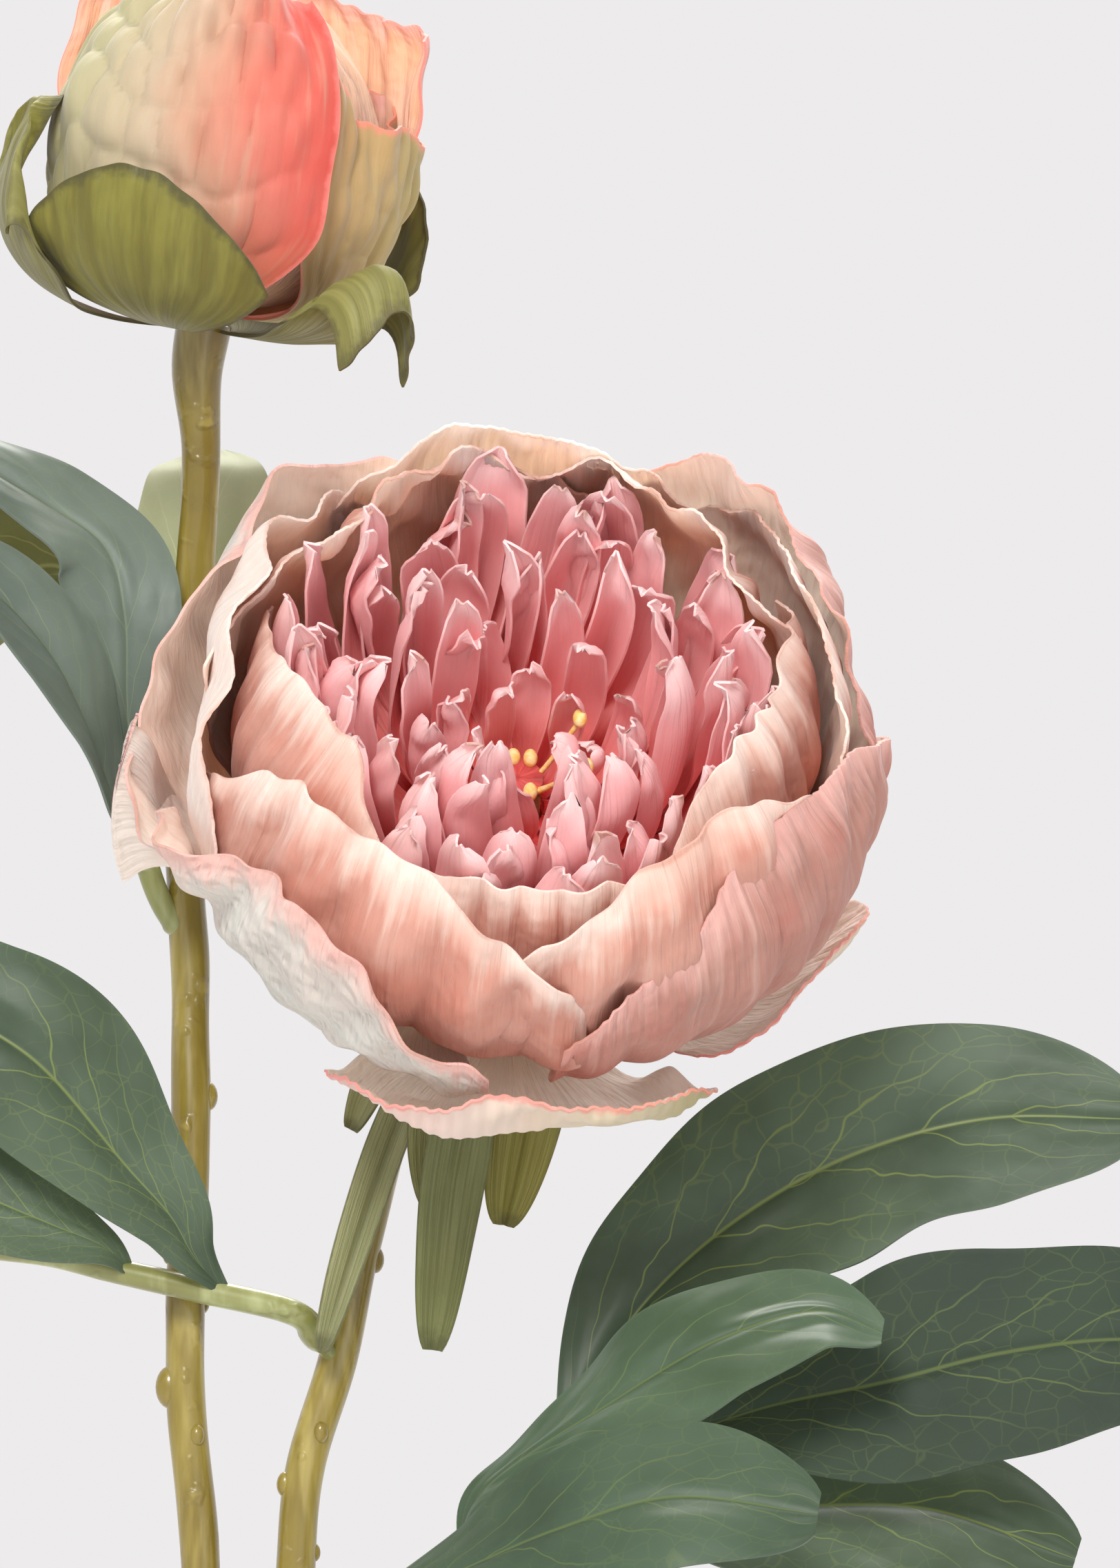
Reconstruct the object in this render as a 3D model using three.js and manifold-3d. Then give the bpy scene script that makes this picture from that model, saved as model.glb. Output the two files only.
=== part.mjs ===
// An artificial peony spray, one open bloom and one bud with three leaves, standing in a ceramic bud vase.
// Millimetres, +Z up. The origin is the centre of the vase's foot, and the bloom faces -Y.
import * as THREE from 'three';
import { mergeVertices } from 'three/addons/utils/BufferGeometryUtils.js';
import Module from 'manifold-3d';

const wasm = await Module();
wasm.setup();

const V = (x, y, z) => new THREE.Vector3(x, y, z);
const DEG = Math.PI / 180;

// ---------- driving dimensions ----------
const SEAT_GAP = 0.3; // between pieces that rest on or in each other

const VASE = {
  height: 190, footRadius: 33, footHeight: 4, bellyRadius: 42, bellyHeight: 52, neckRadius: 15.5,
  neckStart: 122, lipRadius: 18, wall: 4.5, floor: 7, mouthRadius: 11,
};
const STEM_RADIUS = 3.15;
// Depth is a share of the collar's width.
const FORK = { belowMouth: 72, collarMargin: 1.3, collarLength: 12, collarDepth: 0.6 };
const MOUTH_CLEARANCE = 0.4; // between the bloom's stem and the mouth that it leans on
const SHEET = 0.8; // petals, sepals and leaves

// The spray's heights are measured from the vase's mouth.
const aboveMouth = (x, y, z) => V(x, y, VASE.height + z);
const BLOOM = {
  base: aboveMouth(41.5, 9, 132.4), axis: V(0.06, -0.77, 0.635), postRadius: 6, neckStep: 2, postTop: 36,
  shoulder: 18,
};
const BUD = { base: aboveMouth(-7.2, 10, 231.3), axis: V(0.14, -0.06, 1), radius: 24, height: 50, stemFlare: 1.4 };

// ---------- geometry helpers ----------
const smooth = (a, b, x) => THREE.MathUtils.smoothstep(x, a, b);

// A thin closed sheet round the surface point(s, t), s across from -1 to 1 and t along from 0 to 1.
function sheet(point, across, along, thickness = SHEET) {
  const position = [];
  const index = [];
  const step = 1e-3;
  for (const side of [0.5, -0.5]) {
    for (let j = 0; j <= along; j++) {
      for (let i = 0; i <= across; i++) {
        const s = (2 * i) / across - 1;
        const t = j / along;
        const ds = point(Math.min(s + step, 1), t).sub(point(Math.max(s - step, -1), t));
        const dt = point(s, Math.min(t + step, 1)).sub(point(s, Math.max(t - step, 0)));
        const normal = ds.cross(dt).normalize();
        position.push(...point(s, t).addScaledVector(normal, side * thickness).toArray());
      }
    }
  }
  const row = across + 1;
  const under = row * (along + 1);
  const at = (i, j) => j * row + i;
  const quad = (a, b, c, d) => index.push(a, b, c, a, c, d);
  for (let j = 0; j < along; j++) {
    for (let i = 0; i < across; i++) {
      quad(at(i, j), at(i + 1, j), at(i + 1, j + 1), at(i, j + 1));
      quad(under + at(i, j), under + at(i, j + 1), under + at(i + 1, j + 1), under + at(i + 1, j));
    }
    quad(under + at(0, j), at(0, j), at(0, j + 1), under + at(0, j + 1));
    quad(at(across, j), under + at(across, j), under + at(across, j + 1), at(across, j + 1));
  }
  for (let i = 0; i < across; i++) {
    quad(under + at(i, 0), under + at(i + 1, 0), at(i + 1, 0), at(i, 0));
    quad(at(i, along), at(i + 1, along), under + at(i + 1, along), under + at(i, along));
  }
  const made = new THREE.BufferGeometry();
  made.setAttribute('position', new THREE.Float32BufferAttribute(position, 3));
  return made.setIndex(index);
}

// A round bar along a curve with flat ends; radius(t) gives its radius at t from 0 to 1.
function bar(curve, radius, steps, sides) {
  const position = [];
  const index = [];
  const frames = curve.computeFrenetFrames(steps);
  for (let j = 0; j <= steps; j++) {
    const centre = curve.getPointAt(j / steps);
    for (let i = 0; i < sides; i++) {
      const turn = (i / sides) * 2 * Math.PI;
      const out = frames.normals[j].clone().multiplyScalar(Math.cos(turn))
        .addScaledVector(frames.binormals[j], Math.sin(turn));
      position.push(...centre.clone().addScaledVector(out, radius(j / steps)).toArray());
    }
  }
  const first = position.length / 3;
  position.push(...curve.getPointAt(0).toArray(), ...curve.getPointAt(1).toArray());
  for (let i = 0; i < sides; i++) {
    const next = (i + 1) % sides;
    for (let j = 0; j < steps; j++) {
      const a = j * sides + i;
      const b = j * sides + next;
      index.push(a, b, b + sides, a, b + sides, a + sides);
    }
    index.push(first, next, i, first + 1, steps * sides + i, steps * sides + next);
  }
  const made = new THREE.BufferGeometry();
  made.setAttribute('position', new THREE.Float32BufferAttribute(position, 3));
  return made.setIndex(index);
}

function solid(geometry) {
  const bare = geometry.clone();
  bare.deleteAttribute('normal');
  bare.deleteAttribute('uv');
  const merged = mergeVertices(bare, 1e-4);
  return new wasm.Manifold(new wasm.Mesh({
    numProp: 3,
    vertProperties: new Float32Array(merged.attributes.position.array),
    triVerts: new Uint32Array(merged.index.array),
  }));
}

function geometryOf(manifold) {
  const mesh = manifold.getMesh();
  const made = new THREE.BufferGeometry();
  made.setAttribute('position', new THREE.BufferAttribute(new Float32Array(mesh.vertProperties), 3));
  return made.setIndex(new THREE.BufferAttribute(new Uint32Array(mesh.triVerts), 1));
}

const join = (...geometries) => geometryOf(geometries.map(solid).reduce((a, b) => a.add(b)));

// The geometry with the others cut away, keeping its largest piece.
function cut(geometry, ...others) {
  const left = others.map(solid).reduce((a, b) => a.subtract(b), solid(geometry));
  const pieces = left.decompose().sort((a, b) => b.volume() - a.volume());
  return geometryOf(pieces[0]);
}

// A curve through points whose heights are measured from the vase's mouth.
const through = (...points) => new THREE.CatmullRomCurve3(points.map((p) => aboveMouth(...p)));

// The same curve with its end a little further on.
function stretched(curve, by) {
  const end = curve.getPoint(1).addScaledVector(curve.getTangent(1), by);
  return new THREE.CatmullRomCurve3([...curve.points, end]);
}

// ---------- vase ----------
function vase() {
  const { height, footRadius, footHeight, bellyRadius, bellyHeight, neckRadius, neckStart, lipRadius, wall, floor,
    mouthRadius } = VASE;
  const outer = new THREE.SplineCurve([
    new THREE.Vector2(footRadius, footHeight),
    new THREE.Vector2(bellyRadius, bellyHeight),
    new THREE.Vector2((bellyRadius + neckRadius) / 2 - 3, (bellyHeight + neckStart) / 2 + 4),
    new THREE.Vector2(neckRadius, neckStart),
    new THREE.Vector2(neckRadius, height - 16),
    new THREE.Vector2(lipRadius, height - 1.5),
  ]).getPoints(12);
  const inner = outer.filter((p) => p.y > floor + 4 && p.y < height - 4)
    .map((p) => new THREE.Vector2(Math.max(p.x - wall, mouthRadius), p.y)).reverse();
  const profile = [
    new THREE.Vector2(0, 0), new THREE.Vector2(footRadius - 1.5, 0), ...outer,
    new THREE.Vector2(lipRadius - 1.5, height), new THREE.Vector2(mouthRadius + 1, height),
    new THREE.Vector2(mouthRadius, height - 2), ...inner,
    new THREE.Vector2(footRadius - wall, floor), new THREE.Vector2(0, floor),
  ];
  return new THREE.LatheGeometry(profile, 26).rotateX(Math.PI / 2);
}

// ---------- stems ----------
const fromMouth = (point) => [point.x, point.y, point.z - VASE.height];

// A point on a head's axis, below its base, where its stem arrives.
const below = ({ base, axis }, distance) => fromMouth(
  base.clone().addScaledVector(axis.clone().normalize(), -distance),
);

const STEM_FOOT = VASE.floor + SEAT_GAP - VASE.height;
const FORK_LEVEL = -FORK.belowMouth;
const risen = (share) => STEM_FOOT + share * (FORK_LEVEL - STEM_FOOT);
const MAIN_STEM = through([1, 0, STEM_FOOT], [2, 0, risen(0.3)], [1, 0, risen(0.66)], [0, 0, FORK_LEVEL]);
const BRANCH_FOOT = FORK_LEVEL + 1.5 * SEAT_GAP;
const BRANCH_APART = STEM_RADIUS + 0.25; // from each branch's axis to the fork's middle
// How far the bloom's stem leans out at the mouth.
const LEAN = VASE.mouthRadius - STEM_RADIUS - MOUTH_CLEARANCE;
const BUD_LEAN = 0.87 * LEAN;
const BUD_STEM = through(
  [-BRANCH_APART, 0, BRANCH_FOOT], [-0.71 * BUD_LEAN, 0, -40], [-BUD_LEAN, 0.5, 0], [-7.3, 1.5, 30],
  [-9.7, 3, 56], [-10, 4.2, 70],
  [-9.2, 7.4, 98], [-9.5, 11.4, 127], [-10.8, 14.4, 153], [-9.2, 13.6, 183], [-7.6, 11.6, 210], below(BUD, 8),
  below(BUD, SEAT_GAP),
);
const BLOOM_STEM = through(
  [BRANCH_APART, 0, BRANCH_FOOT], [0.67 * LEAN, 0, -40], [LEAN, 0, 0], [8, 1, 30], [9.5, 2.6, 46], [14.6, 5, 63],
  [18.4, 9, 81], [22.6, 17, 98], [29.4, 24, 112], below(BLOOM, 12), below(BLOOM, 5), below(BLOOM, SEAT_GAP),
);
// Leaf scars, as [distance along the stem from 0 to 1, turn round it in degrees, size].
const BUD_STEM_SCARS = [[0.43, 180, 2.3], [0.475, 20, 1.3], [0.585, 10, 1.6], [0.405, -60, 1.2]];
const BLOOM_STEM_SCARS = [[0.69, 20, 1.5], [0.52, 190, 1.4], [0.56, -70, 1.2]];
const STEM_SIDES = 8;

const budStemRadius = (t) => STEM_RADIUS + BUD.stemFlare * smooth(0.93, 1, t);
const bloomStemRadius = (t) => STEM_RADIUS + 0.8 * smooth(0.95, 1, t);

function scarredStem(curve, radius, scars, steps) {
  const knobs = scars.map(([t, turn, size]) => {
    const side = V(Math.cos(turn * DEG), Math.sin(turn * DEG), 0);
    const knob = new THREE.SphereGeometry(size, 6, 5);
    const at = curve.getPointAt(t).addScaledVector(side, radius(t) - 0.25 * size);
    return knob.scale(1, 1, 1.5).translate(...at.toArray());
  });
  return join(bar(curve, radius, steps, STEM_SIDES), ...knobs);
}

function mainStem() {
  const { collarMargin, collarLength, collarDepth } = FORK;
  const height = VASE.height + FORK_LEVEL;
  const collarRadius = 2 * STEM_RADIUS + collarMargin;
  const collar = new THREE.LatheGeometry([
    new THREE.Vector2(0, height - collarLength), new THREE.Vector2(STEM_RADIUS, height - collarLength),
    new THREE.Vector2(collarRadius, height - 3), new THREE.Vector2(collarRadius, height),
    new THREE.Vector2(0, height),
  ], 16).rotateX(Math.PI / 2).scale(1, collarDepth, 1);
  return join(bar(MAIN_STEM, () => STEM_RADIUS, 10, STEM_SIDES), collar);
}

// ---------- leaves ----------
// A leaf blade: rib is its midrib, face the way its upper side looks at the base and at the tip, half its half-width,
// fold the angle of each half above flat, and curl how far the edges turn down again.
function blade({ rib, half, face, faceTip = face, fold = 15, curl = 0, widest = 0.5, across = 4, along = 7 }) {
  const curve = through(...rib);
  const start = V(...face).normalize();
  const end = V(...faceTip).normalize();
  const width = (t) => {
    const rise = Math.sin(0.5 * Math.PI * Math.min(t / widest, 1));
    const fall = t > widest ? Math.sqrt(Math.max(1 - ((t - widest) / (1.02 - widest)) ** 2, 0)) : 1;
    return 0.7 + (half - 0.7) * rise ** 1.25 * fall;
  };
  return sheet((s, t) => {
    const along3 = curve.getTangentAt(t);
    const facing = start.clone().lerp(end, t);
    const up = facing.addScaledVector(along3, -facing.dot(along3)).normalize();
    const out = along3.clone().cross(up).normalize();
    const angle = (fold - curl * Math.abs(s)) * DEG;
    const reach = width(t) * s;
    return curve.getPointAt(t).addScaledVector(out, reach * Math.cos(angle))
      .addScaledVector(up, Math.abs(reach) * Math.sin(angle));
  }, across, along);
}

const PETIOLES = {
  upper: through([-9.8, 11.8, 131], [-13.5, 11, 136], [-16, 10.6, 142], [-17.6, 13, 149], [-18.6, 16.5, 157]),
  lower: through([14.2, 4, 63.4], [11.4, 0, 67], [8.9, -3.4, 70.7], [-7.3, -4.6, 75], [-22, -5, 78.4],
    [-31, -5, 80.6], [-44, -4, 82]),
  right: through([8, 0.6, 21.5], [13, -3, 22.5], [22.6, -7, 26], [36, -4, 35], [48, 0, 43], [55, 1, 47]),
};
const PETIOLE_RADIUS = { upper: 1.9, lower: 2.1, right: 2.2 };

// Each leaflet's rib starts on its petiole, at the share of its length that from gives.
const LEAFLETS = {
  upper_leaf_front: { from: 0.62, rib: [[-18.6, 8.6, 157], [-19.4, 5.6, 170], [-19.8, 5, 184], [-22.8, 6.6, 194.5],
    [-32, 8, 201.5], [-52, 8, 213]],
    half: 9.5, face: [0.1, -1, 0.1], faceTip: [0.1, -0.5, 1], fold: 12, widest: 0.55 },
  upper_leaf_under: { from: 1, rib: [[-22.6, 22, 169], [-26, 26, 182], [-31, 27, 192], [-41, 25, 190],
    [-56, 18, 178]],
    half: 15, face: [-0.2, 1, 0.5], faceTip: [-0.4, 0.8, 0.8], fold: 14, widest: 0.66 },
  upper_leaf_side: { from: 0.5, rib: [[-21, 5, 153], [-25.5, -1, 166], [-31, -4, 177], [-41, -6, 188],
    [-57, -7, 199]],
    half: 9.5, face: [0.5, -0.8, 0.5], faceTip: [0.3, -0.5, 1], fold: 22, widest: 0.6 },
  upper_leaf_back: { from: 0.72, rib: [[-14, 20, 156], [-11, 31, 170], [-9, 38, 186], [-8.4, 42, 201],
    [-8.4, 47, 209.4], [-8.4, 57, 212]],
    half: 12.6, face: [0, 1, -0.3], faceTip: [0, 0.3, -1], fold: 14, widest: 0.6 },
  lower_leaf_top: { from: 0.36, rib: [[-8, -8.6, 80.6], [-11.6, -10, 87], [-18.6, -11, 95], [-32.7, -13, 111.6],
    [-44, -12, 119], [-60, -9, 128]],
    half: 15, face: [0.25, -1, 0.3], fold: 14, widest: 0.62 },
  lower_leaf_middle: { from: 0.6, rib: [[-22, -9, 82], [-31, -11, 86], [-44, -11, 91.5], [-62, -9, 100]],
    half: 9, face: [-0.1, -0.9, 0.6], fold: 12, widest: 0.55 },
  lower_leaf_end: { from: 1, rib: [[-57, -4, 82], [-72, -3, 80], [-92, 0, 71]],
    half: 13, face: [0, -0.8, 0.7], fold: 14, widest: 0.5 },
  right_leaf_top: { from: 0.9, rib: [[54, 6, 55], [59, 9, 65], [67, 11, 75], [80, 12, 86], [98, 12, 96],
    [120, 11, 102], [144, 9, 102]],
    half: 18.4, face: [-0.35, -1, 0.3], fold: 17, widest: 0.55 },
  right_leaf_middle: { from: 1, rib: [[66, 0, 50], [84, -1, 56], [103, -1, 60], [121, -2, 64.6],
    [141, -3, 67], [162, -4, 65]],
    half: 18, face: [-0.1, -1, 0.35], fold: 13, widest: 0.55 },
  right_leaf_low: { from: 0.8, rib: [[55, 8, 40], [70, 10, 40], [88, 9, 39.4], [110, 7, 39], [134, 6, 31]],
    half: 16, face: [-0.1, -0.75, 0.7], fold: 10, widest: 0.6 },
  right_leaf_arch: { from: 0.55, rib: [[38, -10, 43], [59, -17, 58], [77, -20, 68.5], [92, -20, 72.5],
    [101.9, -19, 69]],
    half: 13, face: [-0.5, -0.55, 0.75], faceTip: [0.4, -0.6, 0.7], fold: 8, widest: 0.6 },
  right_leaf_front: { from: 0.3, rib: [[22, -14, 26], [33, -25, 31], [50, -35, 39], [68, -40, 44.5], [91, -42, 42]],
    half: 15.5, face: [-0.4, -0.75, 0.75], faceTip: [0.3, -0.8, 0.6], fold: 8, widest: 0.6 },
};

// ---------- flower heads ----------
// A head's own frame: out from its axis at a turn (0 is +X, 90 is up and back, 270 is the front),
// and along its axis.
function headFrame({ base, axis }) {
  const up = axis.clone().normalize();
  const right = V(1, 0, 0).addScaledVector(up, -up.x).normalize();
  const back = up.clone().cross(right);
  return (out, turn, height) => base.clone().addScaledVector(up, height)
    .addScaledVector(right, out * Math.cos(turn)).addScaledVector(back, out * Math.sin(turn));
}
const inBloom = headFrame(BLOOM);
const inBud = headFrame(BUD);

// A petal on the bowl that the profile sweeps. Its half-width is an angle, its side edges are lower than its middle,
// and its left edge lies inside the bowl and its right edge outside, so that petals of one ring overlap like tiles.
function petal(place, spec) {
  const { profile, turn, half, length = 1, drop = 0.3, tile = 1.7, claw = 0.42, across = 6, along = 7 } = spec;
  const curve = new THREE.CubicBezierCurve(...profile.map(([out, height]) => new THREE.Vector2(out, height)));
  return sheet((s, v) => {
    const t = v * length * (1 - drop * s * s);
    const p = curve.getPoint(t);
    const tangent = curve.getTangent(t);
    const lift = tile * s * smooth(0, 0.35, t);
    const spread = half * (claw + (1 - claw) * smooth(0, 0.4, t));
    return place(p.x + lift * tangent.y, (turn + s * spread) * DEG, p.y - lift * tangent.x);
  }, across, along);
}

// Each petal is its turn and, where it differs from its ring, what differs.
const PETAL_FOOT = BLOOM.postRadius + 0.6;
const BLOOM_RINGS = [
  { name: 'inner_petal', profile: [[PETAL_FOOT, 16], [40, 14], [57, 44], [39.5, 71]], half: 50, drop: 0.16,
    petals: [[-90], [-20, { drop: 0.08 }], [54], [126], [204, { drop: 0.08 }]] },
  { name: 'cup_petal', profile: [[PETAL_FOOT, 12], [44, 8], [63, 42], [46, 73]], half: 48, drop: 0.3,
    petals: [[-52], [18], [90], [162], [-126]] },
  { name: 'outer_petal', profile: [[PETAL_FOOT, 8], [49, 1.7], [68.3, 40], [53, 71]], half: 48, drop: 0.36,
    petals: [[-34], [40], [140], [-136, { half: 40, length: 0.94 }]] },
  { name: 'guard_petal', profile: [[PETAL_FOOT, 3.5], [52, -5], [66, 19], [61, 41]], half: 34, drop: 0.35,
    petals: [[-92, { half: 30 }], [-24, { half: 28, length: 0.8 }], [84], [180, { half: 16 }]] },
];

// A crown of narrow petals: a ring round the bloom's axis, and a finger rising from it for each petal.
function crown(profile, count, width) {
  const curve = new THREE.CubicBezierCurve(...profile.map(([out, height]) => new THREE.Vector2(out, height)));
  const heights = [0, 0.1, 0.4, 0.7, 1];
  const top = heights.length - 1;
  const columns = 2 * count;
  const position = [];
  const index = [];
  for (const side of [0.5, -0.5]) {
    for (const t of heights) {
      const p = curve.getPoint(t);
      const tangent = curve.getTangent(t);
      for (let c = 0; c < columns; c++) {
        const k = Math.floor(c / 2);
        const spread = Math.min(width / 2 / p.x, (0.42 * 2 * Math.PI) / count) * (c % 2 ? 1 : -1);
        const stagger = (k % 2 ? 1.2 : -1.2) * t;
        const out = p.x + stagger - side * SHEET * tangent.y;
        const turn = (k / count) * 2 * Math.PI + spread;
        position.push(...inBloom(out, turn, p.y + side * SHEET * tangent.x).toArray());
      }
    }
  }
  const under = columns * heights.length;
  const at = (c, j) => j * columns + (c % columns);
  const quad = (a, b, c, d) => index.push(a, c, b, a, d, c);
  const faces = (c, j) => {
    quad(at(c, j), at(c + 1, j), at(c + 1, j + 1), at(c, j + 1));
    quad(under + at(c, j), under + at(c, j + 1), under + at(c + 1, j + 1), under + at(c + 1, j));
  };
  const endWall = (c, j) => quad(at(c, j), at(c + 1, j), under + at(c + 1, j), under + at(c, j));
  for (let c = 0; c < columns; c++) {
    faces(c, 0);
    quad(under + at(c, 0), under + at(c + 1, 0), at(c + 1, 0), at(c, 0));
    if (c % 2) {
      endWall(c, 1);
      continue;
    }
    for (let j = 1; j < top; j++) {
      faces(c, j);
      quad(under + at(c, j), at(c, j), at(c, j + 1), under + at(c, j + 1));
      quad(at(c + 1, j), under + at(c + 1, j), under + at(c + 1, j + 1), at(c + 1, j + 1));
    }
    endWall(c, top);
  }
  const made = new THREE.BufferGeometry();
  made.setAttribute('position', new THREE.Float32BufferAttribute(position, 3));
  return made.setIndex(index);
}

// Moves a geometry built round +Z from the origin onto a head's base and axis.
function placed(geometry, { base, axis }) {
  const up = axis.clone().normalize();
  const right = V(1, 0, 0).addScaledVector(up, -up.x).normalize();
  const matrix = new THREE.Matrix4().makeBasis(right, up.clone().cross(right), up).setPosition(base);
  return geometry.applyMatrix4(matrix);
}

const WHORLS = [
  { count: 8, width: 4.6, seat: 32, reach: [9, 15, 10.5], top: [46, 57] },
  { count: 11, width: 5, seat: 29, reach: [15, 23, 17], top: [46, 63] },
  { count: 14, width: 5.4, seat: 26, reach: [22, 31, 24], top: [47, 67] },
  { count: 17, width: 5.8, seat: 23, reach: [28, 38, 29.5], top: [47, 69] },
  { count: 19, width: 6, seat: 20, reach: [33, 45.5, 35.5], top: [46, 69] },
];

function receptacle() {
  const { postRadius, neckStep, postTop, shoulder } = BLOOM;
  const neck = postRadius - neckStep;
  return placed(new THREE.LatheGeometry([
    new THREE.Vector2(0, 0), new THREE.Vector2(postRadius - 1.5, 0), new THREE.Vector2(postRadius, 2),
    new THREE.Vector2(postRadius, shoulder), new THREE.Vector2(neck, shoulder + 1),
    new THREE.Vector2(neck, postTop - 1), new THREE.Vector2(neck - 1, postTop), new THREE.Vector2(0, postTop),
  ], 20).rotateX(Math.PI / 2), BLOOM);
}

function stamens() {
  const pieces = [placed(new THREE.CylinderGeometry(4.2, 3.4, 3, 12).rotateX(Math.PI / 2)
    .translate(0, 0, BLOOM.postTop + SEAT_GAP + 1.5), BLOOM)];
  const count = 7;
  for (let k = 0; k < count; k++) {
    const turn = (k / count) * 2 * Math.PI + 0.3;
    const tip = 6.4 + 2.6 * Math.cos(turn + 0.7);
    const filament = new THREE.CatmullRomCurve3([
      inBloom(2.2, turn, BLOOM.postTop + 2), inBloom(3.6, turn, 46), inBloom(tip, turn, 52)]);
    const anther = new THREE.SphereGeometry(1.4, 5, 4).translate(...inBloom(tip, turn, 52.6).toArray());
    pieces.push(bar(filament, () => 0.5, 2, 4), anther);
  }
  return join(...pieces);
}

// Each sepal's rib is measured from the receptacle's side at its turn, where it is glued.
const SEPALS = {
  bloom_sepal_round: { turn: -170, rib: [[-3.3, 2.5, -8.1], [-7.7, 5.9, -13.6], [-14.7, 7.9, -22.6],
    [-19.2, 8.4, -32.6]], half: 4.4, face: [-0.5, -0.8, 0.3] },
  bloom_sepal_long: { turn: -138, rib: [[-3.1, 0.7, -9.2], [-7.6, 2.7, -16.2], [-14.1, 2.7, -32.2],
    [-20.6, -5.3, -52.2], [-24.5, -13.9, -64.7]], half: 3.8, face: [-0.2, -1, 0.1], fold: 35 },
  bloom_sepal_broad: { turn: -116, rib: [[-1.5, -1.3, -9.1], [-5.5, -1.5, -17.1], [-8.3, 0.1, -28.1],
    [-9.3, 1.1, -41.1]], half: 5, face: [0, -1, 0.1] },
  bloom_sepal_dark: { turn: -86, rib: [[-1, -3.7, -9.5], [-5, -6.1, -18.5], [-8.5, -5.3, -34.5],
    [-10.4, -4.3, -50.5], [-12, -3.3, -63.5]], half: 5.2, face: [0, -1, 0.1], fold: 8 },
  bloom_sepal_olive: { turn: -54, rib: [[1.8, -2.8, -9.3], [0.9, -3.2, -19.3], [-1.1, -2.2, -31.3],
    [-3.6, -1.2, -44.3]], half: 6.4, face: [0, -1, 0.1] },
};

// ---------- bud ----------
function budHeart() {
  const { radius, height } = BUD;
  const profile = [new THREE.Vector2(0, 2.6)];
  for (let k = 1; k < 10; k++) {
    const a = (k / 10) * Math.PI;
    profile.push(new THREE.Vector2(radius * Math.sin(a) ** 0.85, 2.6 + (height / 2) * (1 - Math.cos(a))));
  }
  profile.push(new THREE.Vector2(0, 2.6 + height));
  return placed(new THREE.LatheGeometry(profile, 16).rotateX(Math.PI / 2), BUD);
}
const BUD_STEM_TOP = STEM_RADIUS + BUD.stemFlare;
const BUD_PETAL = [[BUD_STEM_TOP + 1.05, 1.6], [38, -1], [39, 50], [9, 58]];
const BUD_PETALS = {
  bud_petal_front: { turn: -120, half: 64, length: 0.98, drop: 0.1 },
  bud_petal_right: { turn: 2, half: 62, length: 0.9, drop: 0.2 },
  bud_petal_back: { turn: 120, half: 62, length: 0.94, drop: 0.15 },
};
const BUD_SEPAL = [[BUD_STEM_TOP + 0.4, -1.2], [44, -4], [41, 24], [32, 40]];
const BUD_SEPALS = {
  bud_sepal_front: { turn: -112, half: 40, length: 0.7, drop: 0.45, across: 6, along: 5 },
  bud_sepal_left: { turn: 198, half: 24, length: 1.02, drop: 0.5, across: 4, along: 6 },
  bud_sepal_right: { turn: -44, half: 24, length: 0.62, drop: 0.4, across: 4, along: 5 },
  bud_sepal_back: { turn: 56, half: 38, length: 0.9, drop: 0.5, across: 4, along: 5 },
};

function calyx() {
  return placed(new THREE.LatheGeometry([
    new THREE.Vector2(0, 0), new THREE.Vector2(BUD_STEM_TOP - 0.15, 0), new THREE.Vector2(BUD_STEM_TOP + 0.65, 1.6),
    new THREE.Vector2(BUD_STEM_TOP - 0.55, 2.2), new THREE.Vector2(0, 2.2),
  ], 16).rotateX(Math.PI / 2), BUD);
}

// ---------- assembly ----------
const paint = (color, roughness = 0.6) => new THREE.MeshStandardMaterial({ color, roughness, metalness: 0 });
const MATERIALS = {
  ceramic: paint(0xe9e4da, 0.35), stem: paint(0x8f8434, 0.4), petiole: paint(0x8a9a4c, 0.5),
  leaf: paint(0x3f5f50, 0.5), sepal: paint(0x7d8a3a, 0.6), petal: paint(0xf3c9b8, 0.7),
  petaloid: paint(0xef8f98, 0.7), stamen: paint(0xe8c860, 0.7),
  bud: paint(0xe8d6b8, 0.7), heart: paint(0xd8a090, 0.7),
};
const peony = new THREE.Group();
function add(name, geometry, material) {
  const mesh = new THREE.Mesh(geometry, MATERIALS[material]);
  mesh.name = name;
  peony.add(mesh);
}

add('vase', vase(), 'ceramic');
add('main_stem', mainStem(), 'stem');
add('bud_stem', scarredStem(BUD_STEM, budStemRadius, BUD_STEM_SCARS, 34), 'stem');
add('bloom_stem', scarredStem(BLOOM_STEM, bloomStemRadius, BLOOM_STEM_SCARS, 32), 'stem');

const widerStem = (curve, radius) => bar(curve, (t) => radius(t) + SEAT_GAP, 34, 10);
const stemSpace = { upper: widerStem(BUD_STEM, budStemRadius), lower: widerStem(BLOOM_STEM, bloomStemRadius),
  right: widerStem(BLOOM_STEM, bloomStemRadius) };
for (const [name, curve] of Object.entries(PETIOLES)) {
  const radius = PETIOLE_RADIUS[name];
  add(`${name}_leaf_petiole`, cut(bar(curve, () => radius, 14, 8), stemSpace[name]), 'petiole');
}
for (const [name, spec] of Object.entries(LEAFLETS)) {
  const side = name.split('_')[0];
  const space = bar(stretched(PETIOLES[side], SEAT_GAP), () => PETIOLE_RADIUS[side] + SEAT_GAP, 15, 8);
  const rib = [fromMouth(PETIOLES[side].getPointAt(spec.from)), ...spec.rib];
  add(name, cut(blade({ ...spec, rib }), space), 'leaf');
}

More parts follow.
